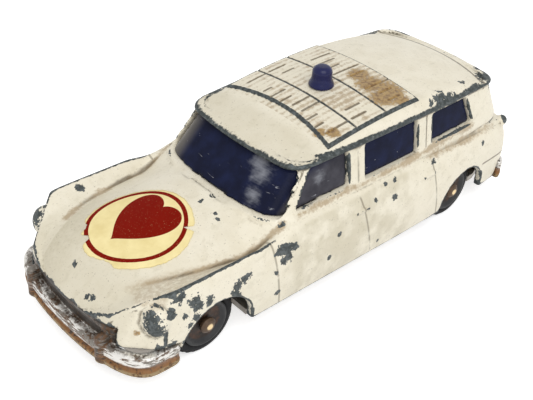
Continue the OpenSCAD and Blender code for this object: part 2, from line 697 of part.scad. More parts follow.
module hub(x, side) color(rust) wheel_place(x, side) rotate_extrude($fn = 48) {
    bore = axle_d/2 + axle_play;
    rim = hub_d/2;
    back = hub_lip - tyre_w;
    polygon([[bore, -tyre_w], [boss_r, -tyre_w], [boss_r, back], [rim, back], [rim, -rim_in],
        [rim - hub_lip, -rim_in], [rim - hub_lip, -hub_dish], [boss_r, -hub_dish],
        [boss_r - rim_in, boss_out], [bore, boss_out]]);
}
module tyre(x, side) color([0.09, 0.09, 0.09]) wheel_place(x, side) rotate_extrude($fn = 64) {
    inner = hub_d/2;
    outer = tyre_d/2;
    polygon([[inner, -tyre_w], [outer - tyre_round, -tyre_w],
        [outer - tyre_bevel, tyre_bevel - tyre_w], [outer, tyre_round - tyre_w],
        [outer, -tyre_round], [outer - tyre_bevel, -tyre_bevel], [outer - tyre_round, 0],
        [inner + rim_in, 0], [inner, -rim_in]]);
}
module hub_front_left() hub(front_axle_x, 1);
module hub_front_right() hub(front_axle_x, -1);
module hub_rear_left() hub(rear_axle_x, 1);
module hub_rear_right() hub(rear_axle_x, -1);
module tyre_front_left() tyre(front_axle_x, 1);
module tyre_front_right() tyre(front_axle_x, -1);
module tyre_rear_left() tyre(rear_axle_x, 1);
module tyre_rear_right() tyre(rear_axle_x, -1);

body_shell();
base_plate();
front_bumper();
rear_bumper();
window_glazing();
roof_beacon();
bonnet_label();
front_axle();
rear_axle();
front_rivet();
rear_rivet();
hub_front_left();
hub_front_right();
hub_rear_left();
hub_rear_right();
tyre_front_left();
tyre_front_right();
tyre_rear_left();
tyre_rear_right();
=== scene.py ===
# %% [markdown]
# # A worn toy ambulance
#
# The toy is a pocket-size die-cast estate car in cream enamel that has chipped down to grey metal.
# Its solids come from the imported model, and this lesson gives each one that shows its finer form and its finish.
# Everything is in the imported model's frame: +X to the nose, +Y to the left side, +Z up, the ground at z = 0.
# Blender works in metres. The drawing below is in millimetres, and one function turns points into meshes.

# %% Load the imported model
import math

import bpy
import numpy as np
from mathutils import Matrix, Vector


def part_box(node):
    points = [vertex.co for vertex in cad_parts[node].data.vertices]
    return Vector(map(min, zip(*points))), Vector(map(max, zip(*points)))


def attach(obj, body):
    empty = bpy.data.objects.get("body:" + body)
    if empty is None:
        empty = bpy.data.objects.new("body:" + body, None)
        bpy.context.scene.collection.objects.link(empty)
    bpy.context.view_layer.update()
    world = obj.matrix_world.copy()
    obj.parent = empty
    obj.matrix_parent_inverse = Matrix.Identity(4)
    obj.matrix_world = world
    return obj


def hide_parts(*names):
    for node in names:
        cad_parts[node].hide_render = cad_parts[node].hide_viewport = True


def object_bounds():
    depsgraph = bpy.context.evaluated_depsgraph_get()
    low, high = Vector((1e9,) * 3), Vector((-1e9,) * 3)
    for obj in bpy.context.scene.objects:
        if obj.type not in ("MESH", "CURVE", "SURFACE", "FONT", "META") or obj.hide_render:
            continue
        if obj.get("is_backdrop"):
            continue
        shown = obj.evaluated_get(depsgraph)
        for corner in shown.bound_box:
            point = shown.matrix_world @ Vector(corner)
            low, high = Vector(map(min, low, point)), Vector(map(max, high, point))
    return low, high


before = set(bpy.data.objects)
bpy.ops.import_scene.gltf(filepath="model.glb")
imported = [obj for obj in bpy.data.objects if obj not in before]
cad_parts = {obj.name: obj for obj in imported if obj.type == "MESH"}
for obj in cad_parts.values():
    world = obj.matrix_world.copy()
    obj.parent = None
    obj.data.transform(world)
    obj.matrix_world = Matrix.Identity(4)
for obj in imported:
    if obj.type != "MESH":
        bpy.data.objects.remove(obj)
cad_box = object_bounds()
MM = 0.001
scene = bpy.context.scene


def add(name, data):
    """A new object in the scene."""
    made = bpy.data.objects.new(name, data)
    scene.collection.objects.link(made)
    return made


# %% [markdown]
# ## Camera
#
# The photograph looks down on the left front corner. Its angle, roll and lens were found from points of the car
# whose places are known, such as the axles and the corners of the windows. A camera can be aimed with a constraint,
# but building its matrix from three directions also takes in the small roll.

# %% Camera
AZIMUTH, ELEVATION, ROLL = (math.radians(v) for v in (136.35, 35.2, 3.66))
LOOK_AT, DISTANCE = Vector((4.77, 0, 8.88)), 118.8
IMAGE_W, IMAGE_H, FOCAL_PX = 533, 400, 952.98
MIDDLE_PX = (259.95, 193.01)

back = Vector((math.sin(AZIMUTH)*math.cos(ELEVATION), -math.cos(AZIMUTH)*math.cos(ELEVATION), math.sin(ELEVATION)))
flat_right = Vector((math.cos(AZIMUTH), math.sin(AZIMUTH), 0))
flat_up = back.cross(flat_right)
right = flat_right*math.cos(ROLL) + flat_up*math.sin(ROLL)
up = flat_up*math.cos(ROLL) - flat_right*math.sin(ROLL)

lens = bpy.data.cameras.new("camera")
lens.sensor_width = 36
lens.lens = FOCAL_PX*lens.sensor_width/IMAGE_W
lens.shift_x = (IMAGE_W/2 - MIDDLE_PX[0])/IMAGE_W
lens.shift_y = (MIDDLE_PX[1] - IMAGE_H/2)/IMAGE_W
lens.clip_start, lens.clip_end = 0.001, 10
camera = add("camera", lens)
turn = Matrix((right, up, back)).transposed().to_4x4()
camera.matrix_world = Matrix.Translation((LOOK_AT + back*DISTANCE)*MM) @ turn
scene.camera = camera
print(f"lens {lens.lens:.1f} mm, shift {lens.shift_x:.4f} {lens.shift_y:.4f}")

# %% [markdown]
# ## Writing shaders as sums
#
# A finish is a network of nodes. Written node by node it is long and hard to follow, so a small class stands for one
# socket, and plus, minus and times on it add the Math nodes. Any other node comes from one method of the finish.

# %% Finish and Value
class Value:
    """One output socket. Sums of values add Math nodes; | is the larger of two values and & the smaller."""

    def __init__(self, finish, socket):
        self.finish, self.socket = finish, socket

    def math(self, operation, *values):
        return self.finish.node("Math", {"operation": operation}, *values)

    def __add__(self, other): return self.math("ADD", self, other)
    def __radd__(self, other): return self.math("ADD", other, self)
    def __sub__(self, other): return self.math("SUBTRACT", self, other)
    def __rsub__(self, other): return self.math("SUBTRACT", other, self)
    def __mul__(self, other): return self.math("MULTIPLY", self, other)
    def __rmul__(self, other): return self.math("MULTIPLY", other, self)
    def __truediv__(self, other): return self.math("DIVIDE", self, other)
    def __pow__(self, other): return self.math("POWER", self, other)
    def __or__(self, other): return self.math("MAXIMUM", self, other)
    def __and__(self, other): return self.math("MINIMUM", self, other)
    def __abs__(self): return self.math("ABSOLUTE", self)

    def ramp(self, low, high):
        """0 below low, 1 above high, smooth between them; with low above high it falls instead."""
        sockets = {"Value": self, "From_Min": min(low, high), "From_Max": max(low, high)}
        rise = self.finish.node("MapRange", {"interpolation_type": "SMOOTHSTEP"}, **sockets)
        return rise if high > low else 1 - rise


class Finish:
    """A material, or the world, with its one shader and short ways to add nodes to it."""

    def __init__(self, name, kind=bpy.data.materials, shader="Principled BSDF"):
        self.material = kind.new(name)
        self.material.use_nodes = True
        self.tree = self.material.node_tree
        self.shader = self.tree.nodes[shader]
        place = self.node("TexCoord", output="Object")
        self.mm = self.node("VectorMath", {"operation": "SCALE"}, place, Scale=1/MM)
        self.x, self.y, self.z = (self.node("SeparateXYZ", None, self.mm, output=axis) for axis in "XYZ")

    def node(self, kind, settings=None, *in_order, output=None, **by_name):
        made = self.tree.nodes.new("ShaderNode" + kind)
        for key, value in (settings or {}).items():
            setattr(made, key, value)
        shown = [s for s in made.inputs if s.enabled]
        first = {s.name.replace(" ", "_"): s for s in reversed(shown)}
        for socket, value in [*zip(shown, in_order), *((first[key], by_name[key]) for key in by_name)]:
            self.set(socket, value)
        outputs = [s for s in made.outputs if s.enabled and (output is None or s.name == output)]
        return Value(self, outputs[0])

    def set(self, socket, value):
        if isinstance(value, Value):
            self.tree.links.new(value.socket, socket)
        elif socket.type == "RGBA":
            socket.default_value = (*value, 1)
        else:
            socket.default_value = value

    def look(self, **sockets):
        for key, value in sockets.items():
            self.set(self.shader.inputs[key.replace("_", " ")], value)
        return self.material

    def noise(self, per_mm, detail=3, rough=0.55, warp=0.0, stretch=None):
        place = self.mm
        if stretch is not None:
            place = self.node("VectorMath", {"operation": "MULTIPLY"}, self.mm, stretch)
        sockets = dict(Vector=place, Scale=per_mm, Detail=detail, Roughness=rough, Distortion=warp)
        return self.node("TexNoise", **sockets)

    def mark(self, name):
        """A number stored on the mesh's points."""
        return self.node("Attribute", {"attribute_name": name}, output="Fac")

    def blend(self, share, first, second):
        return self.node("Mix", {"data_type": "RGBA"}, Factor=share, A=first, B=second)

    def bump(self, height, strength, depth_mm):
        return self.node("Bump", None, Strength=strength, Distance=depth_mm*MM, Height=height)


print("shader helpers ready")

# %% [markdown]
# ## The lines of the car
#
# These are the sizes the solids were drawn with, in millimetres, as seen from above (plan) and from the side.
# The bonnet is one broad crown that rolls down at the nose. A crease parts it from the two wings, whose ridges
# run back from the lamps and fade into the doors. Behind them the shoulder falls to a narrow tail. Of these lines
# only those of the wings are new: they stand a little higher and further out, and the crease runs inward to the nose.

# %% Sizes and line functions
HALF, SILL, WALL = 12.3, 3.0, 1.1
NOSE, NOSE_START, NOSE_POWER = 33.6, 22, 5
TAIL, TAIL_START, TAIL_POWER = -33.1, -20, 18
NOSE_RUN, TAIL_RUN = NOSE - NOSE_START, TAIL_START - TAIL
COWL_X, COWL_Z, BONNET_FALL, NOSE_DROP, DROP_START = 14.2, 14.1, 3.2, 2.5, 26
VALLEY_Z, RIDGE_RISE, VALLEY_IN, RIDGE_IN = 10.8, 0.8, 2.2, 1.3
WING_RISE, WING_OUT, WING_REAR, REAR_FADE, WING_FRONT, FRONT_FADE = 0.9, 0.55, 11, 6, 27, 4.5
CREASE_SWEEP, CREASE_SOFT, CREASE_START, CREASE_RUN = 2.6, 0.25, 15, 13
WAIST, SILL_TUCK, TAIL_TAPER, TAPER_START = 7.2, 0.35, 1.3, -8
BELT, SHOULDER_FALL, FALL_START, TAIL_DROP = 13.6, 1.7, -12, 1.2
DOOR_VALLEY_IN, DOOR_SHOULDER, DOOR_FRONT, DOOR_FADE = 1.75, 0.7, 16, 7

least, most = np.minimum, np.maximum


def unit(v):
    return np.clip(v, 0, 1)


def ease(v):
    t = unit(v)
    return t*t*(3 - 2*t)


def mix(a, b, t):
    return a + (b - a)*t


def nose_turn(x): return unit((x - NOSE_START)/NOSE_RUN)
def tail_turn(x): return unit((TAIL_START - x)/TAIL_RUN)
def plan_half(x): return HALF - TAIL_TAPER*unit((TAPER_START - x)/(TAPER_START - TAIL))**2
def nose_share(x): return unit((x - DROP_START)/(NOSE - DROP_START))**2.5
def door_share(x): return ease((DOOR_FRONT - x)/DOOR_FADE)
def wing_share(x): return ease((x - WING_REAR)/REAR_FADE)*(1 - ease((x - WING_FRONT)/FRONT_FADE))
def ridge_share(x): return 1 - (RIDGE_IN - WING_OUT*wing_share(x))/HALF


def shoulder_z(x):
    return BELT - SHOULDER_FALL*unit((FALL_START - x)/(FALL_START - TAIL)) - TAIL_DROP*tail_turn(x)**5


def body_half(x):
    return plan_half(x)*np.sqrt((1 - nose_turn(x)**NOSE_POWER)*(1 - tail_turn(x)**TAIL_POWER))


def plan_distance(u, v, across, half, power):
    """Distance outward of a plan that the given powers round at nose and tail, good close to it."""
    along = power*u**(power - 1)/NOSE_RUN + TAIL_POWER*v**(TAIL_POWER - 1)/TAIL_RUN
    return (u**power + v**TAIL_POWER + across**2 - 1)/most(np.hypot(along, 2*across/half), 0.5/half)


def top_z(x):
    bonnet = COWL_Z - BONNET_FALL*most(0, (x - COWL_X)/(NOSE - COWL_X)) - NOSE_DROP*nose_share(x)
    return least(bonnet, shoulder_z(x) + COWL_Z - BELT)


def valley(x):
    """Place and height of the low line along which the crown of the bonnet would end."""
    d = door_share(x)
    y = body_half(x)/HALF*(HALF - mix(VALLEY_IN, DOOR_VALLEY_IN, d))
    return y, mix(VALLEY_Z - (NOSE_DROP + RIDGE_RISE)*nose_share(x), shoulder_z(x), d)


def ridge(x):
    """Place and height of the top of a wing."""
    rise = mix(RIDGE_RISE + WING_RISE*wing_share(x), -DOOR_SHOULDER, door_share(x))
    return body_half(x)*ridge_share(x), valley(x)[1] + rise


def bonnet_at(x, y):
    v_y, v_z = valley(x)
    return top_z(x) - (top_z(x) - v_z)*(y/most(v_y, 0.01))**2


def crease(x):
    """Place and height of the crease between bonnet and wing, which runs inward towards the nose."""
    sweep = CREASE_SWEEP*unit((x - CREASE_START)/CREASE_RUN)**1.6*(1 - 0.6*nose_turn(x)**6)
    y = valley(x)[0] - body_half(x)/HALF*sweep
    return y, bonnet_at(x, y)


print(f"bonnet {bonnet_at(20.0, 0.0):.2f} mm high at x 20, wing ridge {ridge(20.0)[1]:.2f} mm")

# %% [markdown]
# ## The roof and the cabin
#
# Seen from above the cabin is a rounded box with a bowed windscreen. It leans in from the belt to the gutters,
# and the roof is a low crown with its highest point behind the middle.

# %% Cabin line functions
CABIN_HALF, GUTTER_HALF, GUTTER_Z = 10.7, 9.85, 18.85
ROOF_Z, ROOF_PEAK, ROOF_FRONT, ROOF_REAR = 21.15, -11.0, 9.0, -28.4
FRONT_DROP, REAR_DROP, CROWN = 2.2, 2.4, 0.9
TAILGATE, SCREEN_BOW, GATE_BOW, ROOF_BOW, SIDE_BOW = -30.2, 2.6, 0.8, 1.0, 0.05
SCREEN_RAKE, GATE_RAKE, SCREEN_CORNER, GATE_CORNER = 0.72, 0.9, 2.2, 2.4
ROOF_ROLL, GUTTER_DIP = 0.08, 0.2
ROOF_MID = (ROOF_FRONT + ROOF_REAR)/2


def gutter_z(x):
    share = (np.clip(x, ROOF_REAR, ROOF_FRONT) - ROOF_MID)/(ROOF_FRONT - ROOF_MID)
    return GUTTER_Z - GUTTER_DIP*share**4


def roof_z(x, y):
    t = x - ROOF_PEAK
    ahead, behind = t/(ROOF_FRONT - ROOF_PEAK), t/(ROOF_REAR - ROOF_PEAK)
    drop = np.where(t > 0, FRONT_DROP*ahead**2, REAR_DROP*behind**2)
    return ROOF_Z - drop - CROWN*(y/GUTTER_HALF)**2


def soft_max(a, b, k): return most(a, b) + most(k - np.abs(a - b), 0)**2/(4*k)
def soft_min(a, b, k): return -soft_max(-a, -b, k)


print(f"roof {float(roof_z(ROOF_PEAK, 0.0)):.2f} mm high, gutters at {gutter_z(ROOF_MID):.2f} mm")

# %% [markdown]
# ## The casting as a distance field
#
# A casting has no sharp edges: metal and enamel round every corner. Lofts and bevels can give that, but the
# windows, arches and lamps cut across each other here. So the body is written as a field that is negative
# inside the metal, made of rounded unions and cuts, and a mesh is drawn over the places where it is zero.

# %% Field of the cabin
def cabin_sides(x, y, z):
    """The cabin without its roof, whose edge rolls inward above the gutters."""
    rim = gutter_z(x)
    top = roof_z(x, y)
    lean = unit((z - BELT)/(rim - BELT))
    above = unit((z - rim)/most(top - rim, 0.3))
    shrink = 1 - ROOF_ROLL*(1 - np.sqrt(1 - least(above, 0.995)**2))
    px, py = ROOF_MID + (x - ROOF_MID)/shrink, y/shrink
    half = mix(CABIN_HALF, GUTTER_HALF, lean)
    front, rear = mix(COWL_X, ROOF_FRONT, lean), mix(TAILGATE, ROOF_REAR, lean)
    share = least(py/half, 1.2)**2
    a = (px - front + mix(SCREEN_BOW, ROOF_BOW, lean)*share)*SCREEN_RAKE
    b = (rear + mix(GATE_BOW, ROOF_BOW, lean)*share - px)*GATE_RAKE
    c = py/(1 - SIDE_BOW*((px - (front + rear)/2)/((front - rear)/2))**2) - half
    return soft_max(soft_max(a, c, SCREEN_CORNER), soft_max(b, c, GATE_CORNER), 0.1)


def cabin_field(x, y, z): return soft_max(cabin_sides(x, y, z), z - roof_z(x, y), 0.5)


def polygon_field(p, q, corners, k):
    """Distance to a convex outline through corners in clockwise order, rounded by k."""
    field = None
    for (p0, q0), (p1, q1) in zip(corners, corners[1:] + corners[:1]):
        edge = ((q1 - q0)*(p0 - p) + (p1 - p0)*(q - q0))/math.hypot(p1 - p0, q1 - q0)
        field = edge if field is None else soft_max(field, edge, k)
    return field


print(f"roof skin {cabin_field(ROOF_PEAK, 0.0, ROOF_Z):.3f}, should be near 0")

# %% [markdown]
# ## What is cut out of the casting
#
# The casting is hollow, open below, with a hole for each window. Two wheel arches are cut through the sides, and
# the ends make room for the bumpers. A flat panel slants across each front corner and carries one domed lamp,
# where the plain solid has a shallow bowl with two. Rails run round the roof above the windows, and small bars on
# the doors are the handles.

# %% Cuts, lamps, rails and handles
AXLES, AXLE_Z = (21.7, -20.9), 4.3
ARCHES = ((21.3, 3.4, 5.1), (-21.8, 3.3, 4.6))
SIDE_WINDOWS = [
    [(0.3, 13.8), (0.3, 18.45), (6.1, 18.5), (8.8, 13.8)],
    [(-11.9, 13.7), (-11.9, 18.3), (-2.4, 18.4), (-2.4, 13.7)],
    [(-23.1, 14.1), (-21.5, 18.1), (-14.7, 18.2), (-14.7, 14.1)],
]
WINDOW_K, WINDOW_IN = 0.35, 4
SCREEN_HALVES, SCREEN_FADE, SCREEN_FOOT, SCREEN_DIP, SCREEN_TOP = (9.9, 8.9), (13.6, 4.9), 13.7, 0.4, 18.35
GATE_HALVES, GATE_FADE, GATE_FOOT, GATE_TOP = (7.9, 7.2), (14, 3.4), 14.1, 17.5
SCREEN_FROM, GATE_FROM = 5, -24
PANEL_WAY, PANEL_OUT = (0.69, 0.69, 0.2), 29.4
LAMP, LAMP_R, LAMP_TALL = (28.7, 10.72, 9.15), 1.6, 1.25
TAIL_LAMP, TAIL_LAMP_R = (-31.5, 9.5, 11.1), 0.75
HANDLES, HANDLE_Z, HANDLE_R = ((-1.8, 0.1), (-14.2, -12.2)), 10.7, 0.3
RAIL_R, CAST_R = 0.32, 0.18
BUMPER_TOP, SEAT_IN, FRONT_SEAT, REAR_SEAT = 5.65, 1.73, 26.4, -30.2
LIP, GRILLE_HALF, GRILLE_FROM = 8.0, 8.3, 30.4


def sides_field(x, y, z):
    """Sides and lid of the lower body, open below, and the sides alone."""
    half, u, v = plan_half(x), nose_turn(x), tail_turn(x)
    r_y, r_z = ridge_share(x), ridge(x)[1]
    rise = unit((z - WAIST)/most(r_z - WAIST, 0.1))
    tuck = 1 - SILL_TUCK/HALF*unit((WAIST - z)/(WAIST - SILL))**2
    q = y/(half*np.where(z > WAIST, r_y + (1 - r_y)*np.sqrt(1 - rise**2), tuck))
    wall = plan_distance(u, v, q, half, NOSE_POWER)
    c_y, c_z = crease(x)
    climb = unit((y - c_y)/most(ridge(x)[0] - c_y, 0.05))
    climb = climb**2*(1 + CREASE_SOFT)/(climb + CREASE_SOFT)
    lid = z - np.where(y < c_y, bonnet_at(x, least(y, c_y)), mix(c_z, r_z, climb))
    return soft_max(wall, lid, 0.35), wall


def ball(x, y, z, middle, r):
    return np.sqrt((x - middle[0])**2 + (y - middle[1])**2 + (z - middle[2])**2) - r


def window_field(x, y, z):
    """All windows as prisms: those of the sides along y, the screen and the tailgate window along x."""
    sides = least.reduce([polygon_field(x, z, corners, WINDOW_K) for corners in SIDE_WINDOWS])
    sill = SCREEN_FOOT - SCREEN_DIP*(y/9.4)**2
    screen = y - mix(*SCREEN_HALVES, (z - SCREEN_FADE[0])/SCREEN_FADE[1])
    screen = soft_max(screen, soft_max(sill - z, z - SCREEN_TOP, 0.4), 0.8)
    gate = y - mix(*GATE_HALVES, (z - GATE_FADE[0])/GATE_FADE[1])
    gate = soft_max(gate, soft_max(GATE_FOOT - z, z - GATE_TOP, 0.5), 0.9)
    ends = least(most(screen, SCREEN_FROM - x), most(gate, x - GATE_FROM))
    return least(most(sides, WINDOW_IN - y), ends)


def casting_field(x, y, z):
    y = np.abs(y)
    sides, wall = sides_field(x, y, z)
    panel = PANEL_WAY[0]*x + PANEL_WAY[1]*y + PANEL_WAY[2]*z - PANEL_OUT
    sides = soft_max(sides, least(panel, z - BUMPER_TOP + 0.4), 0.12)
    cabin = cabin_field(x, y, z)
    solid = soft_min(soft_max(sides, SILL - z, 0.15), most(cabin, BELT - 1 - z), 0.3)
    cut = least(sides + WALL, most(cabin + WALL, BELT - 2.2 - z))
    cut = least(cut, most(window_field(x, y, z), cabin - 0.25))
    for arch_x, arch_z, arch_r in ARCHES:
        cut = least(cut, np.hypot(x - arch_x, z - arch_z) - arch_r)
    seats = least(FRONT_SEAT - x, x - REAR_SEAT)
    cut = least(cut, most(most(z - BUMPER_TOP, -SEAT_IN - wall), seats))
    cut = least(cut, most(most(y - GRILLE_HALF, z - LIP), GRILLE_FROM - x))
    solid = soft_max(solid, -cut, CAST_R)
    dome = ball(x, y, LAMP[2] + (z - LAMP[2])/LAMP_TALL, LAMP, LAMP_R)
    rail = np.hypot(cabin_sides(x, y, z), z - gutter_z(x)) - RAIL_R
    solid = least(soft_min(solid, dome, 0.15), rail)
    solid = soft_min(solid, ball(x, y, z, TAIL_LAMP, TAIL_LAMP_R), 0.3)
    for rear, front in HANDLES:
        gap = x - np.clip(x, rear, front)
        solid = soft_min(solid, np.sqrt(gap**2 + wall**2 + (z - HANDLE_Z)**2) - HANDLE_R, 0.15)
    return solid


print(f"bonnet skin {casting_field(20.0, 0.0, bonnet_at(20.0, 0.0)):.3f}, should be near 0")

# %% [markdown]
# ## A mesh over the field
#
# Marching cubes and Blender's volume remesher can both turn a field into a mesh. Surface nets give cleaner quads:
# each cell of a grid that the surface crosses gets one point, and each crossed grid line joins four of them.
# Two Newton steps then move every point onto the surface itself, so flat panels come out flat.

# %% Surface nets
def slope_at(field, points, reach=0.02):
    steps = reach*np.eye(3)
    return np.stack([(field(*(points + e).T) - field(*(points - e).T))/(2*reach) for e in steps], 1)


def draw_surface(field, low, high, step):
    """Points and outward quads over the places where field is zero."""
    axes = [np.arange(a, b, step) for a, b in zip(low, high)]
    values = field(*np.meshgrid(*axes, indexing="ij", sparse=True))
    inside, sizes = values < 0, np.array(values.shape)
    corners = [np.array(c) for c in np.ndindex(2, 2, 2)]
    shifted = [tuple(slice(o, o + n - 1) for o, n in zip(c, sizes)) for c in corners]
    count = sum(inside[window].astype(np.int8) for window in shifted)
    cells = np.argwhere((count > 0) & (count < 8))
    ids = np.full(sizes - 1, -1)
    ids[tuple(cells.T)] = np.arange(len(cells))
    total, hits = np.zeros(cells.shape), np.zeros((len(cells), 1))
    for c in corners:
        for axis in np.flatnonzero(c == 0):
            d = c + np.eye(3, dtype=int)[axis]
            v0, v1 = values[tuple((cells + c).T)], values[tuple((cells + d).T)]
            cross = (v0 < 0) != (v1 < 0)
            t = np.where(cross, v0/np.where(cross, v0 - v1, 1), 0)
            total += np.where(cross[:, None], c + t[:, None]*(d - c), 0)
            hits += cross[:, None]
    points = np.array(low) + step*(cells + total/hits)
    quads = []
    for axis in range(3):
        a, b = np.eye(3, dtype=int)[[(axis + 1) % 3, (axis + 2) % 3]]
        edges = np.argwhere(np.diff(inside, axis=axis))
        edges = edges[((edges@a > 0) & (edges@a < sizes@a - 1) & (edges@b > 0) & (edges@b < sizes@b - 1))]
        quad = np.stack([ids[tuple((edges + move).T)] for move in (-a - b, -b, 0*a, -a)], 1)
        flip = ~inside[tuple(edges.T)]
        quad[flip] = quad[flip][:, ::-1]
        quads.append(quad)
    for _ in range(2):
        rise = slope_at(field, points)
        move = field(*points.T)[:, None]*rise/most((rise**2).sum(1), 0.3)[:, None]
        points -= move*least(1, 0.5*step/most(np.linalg.norm(move, axis=1), 1e-9))[:, None]
    return points, np.concatenate(quads)


def piece(name, points, faces, material, body="car", nodes=()):
    """A smooth mesh from points in millimetres, as a piece that moves with a body of the frame."""
    mesh = bpy.data.meshes.new(name)
    mesh.from_pydata((np.asarray(points)*MM).tolist(), [], [list(map(int, f)) for f in faces])
    mesh.shade_smooth()
    mesh.materials.append(material)
    made = add(name, mesh)
    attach(made, body)
    if nodes:
        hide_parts(*nodes)
    print(f"{name}: {len(mesh.vertices)} points, {len(mesh.polygons)} faces")
    return made


BODY_LOW, BODY_HIGH, BODY_STEP = (-34.5, -13.125, 2.4), (34.5, 13.3, 22.2), 0.275
body_points, body_quads = draw_surface(casting_field, BODY_LOW, BODY_HIGH, BODY_STEP)
print(f"casting: {len(body_points)} points")

# %% [markdown]
# ## Where the paint has suffered
#
# Enamel wears through at edges that stand out and keeps dirt in the hollows. A few rounds of smoothing tell which
# is which: a point that smoothing pulls inward stood out. Knocks are listed as a spot with a radius, and
# worn ridges, panel lines and dirty creases as runs of points. These become numbers on the mesh that the paint reads.

# %% Wear marks on the body
CHIPS = [
    (26.7, 11.9, 11.5, 0.7), (26.2, 11.9, 11.8, 0.5), (27.6, 12.0, 10.1, 0.6), (27.7, 11.9, 10.6, 0.4),
    (24.7, 12.1, 10.5, 0.8), (24.1, 12.2, 9.6, 0.8), (22.7, 12.2, 9.6, 0.7), (24.5, 12.3, 8.1, 0.6),
    (26.1, 12.2, 9.1, 0.45), (27.8, 12.0, 5.9, 0.6), (28.9, 11.7, 5.8, 0.6), (25.4, 12.3, 7.5, 0.5),
    (18.8, 12.2, 9.5, 0.7), (17.8, 12.2, 9.8, 0.7), (17.1, 12.2, 10.2, 0.5), (19.2, 12.2, 8.7, 0.6),
    (18.9, 12.2, 8.1, 0.5), (12.3, 12.0, 10.9, 0.75), (11.3, 12.0, 10.6, 0.95), (10.3, 12.1, 10.7, 0.6),
    (10.9, 12.1, 9.7, 0.6), (12.7, 12.2, 5.1, 0.4),
    (13.2, 12.3, 8.4, 0.35), (12.1, 12.2, 9.4, 0.45), (-6.7, 12.1, 10.2, 0.5), (-3.2, 11.9, 11.1, 0.35),
    (-5.2, 11.5, 12.4, 0.35), (-6.9, 11.5, 12.3, 0.35), (3.1, 12.2, 9.0, 0.35), (-4.5, 12.1, 4.5, 0.3),
    (4.5, 12.3, 6.2, 0.35), (-14.3, 11.5, 12.0, 0.45), (-25.2, 11.3, 10.6, 0.4),
    (31.1, -0.7, 10.4, 0.4), (32.4, 3.5, 9.2, 0.35), (32.1, 4.2, 9.4, 0.4), (15.9, 2.0, 13.7, 0.4),
    (14.4, 2.2, 13.9, 0.4), (15.7, 4.4, 13.3, 0.3), (16.0, 5.2, 13.0, 0.3), (11.0, 10.4, 13.0, 0.4),
    (32.4, 7.7, 8.0, 0.6), (-22.0, 8.3, 19.3, 0.5), (-26.9, 7.7, 18.3, 0.9), (-14.3, 9.4, 19.6, 0.5),
    (-16.1, 9.6, 19.3, 1.2), (-17.7, 9.8, 18.8, 1.1), (-19.0, 9.7, 18.8, 0.7), (29.8, -10.5, 10.9, 0.6),
    (24.0, -10.5, 12.0, 0.6), (29.7, 11.2, 10.3, 0.9), (29.6, 11.6, 9.3, 1.15), (29.3, 11.8, 8.3, 1.0),
    (12.0, -12.0, 10.6, 0.8), (3.0, -12.2, 9.4, 0.4), (-8.0, -12.0, 11.0, 0.5), (-19.0, -11.5, 11.8, 0.6),
    (29.4, -11.3, 9.6, 1.4), (-31.8, 10.0, 11.5, 0.4), (-27.0, 8.6, 18.7, 1.2), (-28.2, 6.5, 18.6, 0.7),
    (24.3, -12.0, 9.8, 0.8), (-31.5, 4.0, 9.0, 0.5), (-32.0, -5.0, 8.0, 0.6),
]
WORN_LINES = [
    [(x, *ridge(x)) for x in (28.4, 26.5, 24.0, 20.5, 17.5, 15.5, 14.0)],
    [(28.8, 10.7, 11.2), (28.4, 11.3, 10.8), (28.2, 11.7, 9.8), (28.2, 11.9, 8.6), (28.4, 12.0, 7.2),
        (28.4, 11.9, 6.1)],
]
PANEL_LINES = [
    [(32.5, 7.5, 8.3), (31.8, 8.6, 9.6), (30.3, 9.3, 10.2), (29.3, 9.9, 10.7), (28.8, 10.7, 11.2)],
]
GRIME_LINES = [
    [(x, *crease(x)) for x in (28.0, 25.0, 23.0, 20.5, 18.0, 14.0, 11.0)],
    [(8.8, 10.7, 13.5), (0.2, 10.7, 13.5), (-2.4, 10.7, 13.4), (-12.0, 10.7, 13.4),
        (-14.7, 10.6, 13.7), (-23.0, 10.3, 13.7)],
    [(-13.5, 11.2, 12.9), (-23.5, 10.8, 12.2), (-28.8, 10.3, 11.9)],
]
PILLAR_LINES = [
    [(12.2, 10.4, 11.6), (10.2, 10.3, 13.9), (7.0, 9.3, 18.5)],
    [(9.4, 10.6, 13.9), (6.5, 9.8, 18.5)],
    [(-1.2, 10.6, 13.9), (-1.2, 9.9, 18.6)],
    [(-13.4, 10.5, 14.0), (-13.4, 9.8, 18.6)],
]
RUST = [(30.7, 10.0, 7.7, 0.5)]


def spots_at(points, spots):
    """1 at the middle of a spot and 0 at its radius, for the nearest spot, and below 0 outside."""
    best = np.full(len(points), -9.0)
    for x, y, z, r in spots:
        best = most(best, 1 - np.linalg.norm(points - (x, y, z), axis=1)/r)
    return best


def runs_at(points, runs):
    """Distance in millimetres to the nearest of some runs of points."""
    best = np.full(points.shape[:-1], 9.0)
    for run in map(np.array, runs):
        for a, b in zip(run, run[1:]):
            t = unit(((points - a)@(b - a))/((b - a)@(b - a)))
            best = least(best, np.linalg.norm(points - a - t[..., None]*(b - a), axis=-1))
    return best


def lines_at(points, lines):
    """The same on both sides of the car, for lines given on the left side."""
    return runs_at(points*(1, 0, 1) + np.abs(points)*(0, 1, 0), lines)


def standing_out(points, quads, normals, rounds=10):
    """How far each point stands out of its smoothed surroundings, in millimetres."""
    ends = np.concatenate([quads[:, [i, (i + 1) % 4]] for i in range(4)])
    number = np.bincount(ends[:, 0], minlength=len(points))[:, None]
    smooth = points.copy()
    for _ in range(rounds):
        around = np.stack([np.bincount(ends[:, 0], smooth[ends[:, 1], k], len(points)) for k in range(3)], 1)
        smooth = around/most(number, 1)
    return ((points - smooth)*normals).sum(1)


def mark(obj, **marks):
    for name, values in marks.items():
        obj.data.attributes.new(name, "FLOAT", "POINT").data.foreach_set("value", values.astype(np.float32))


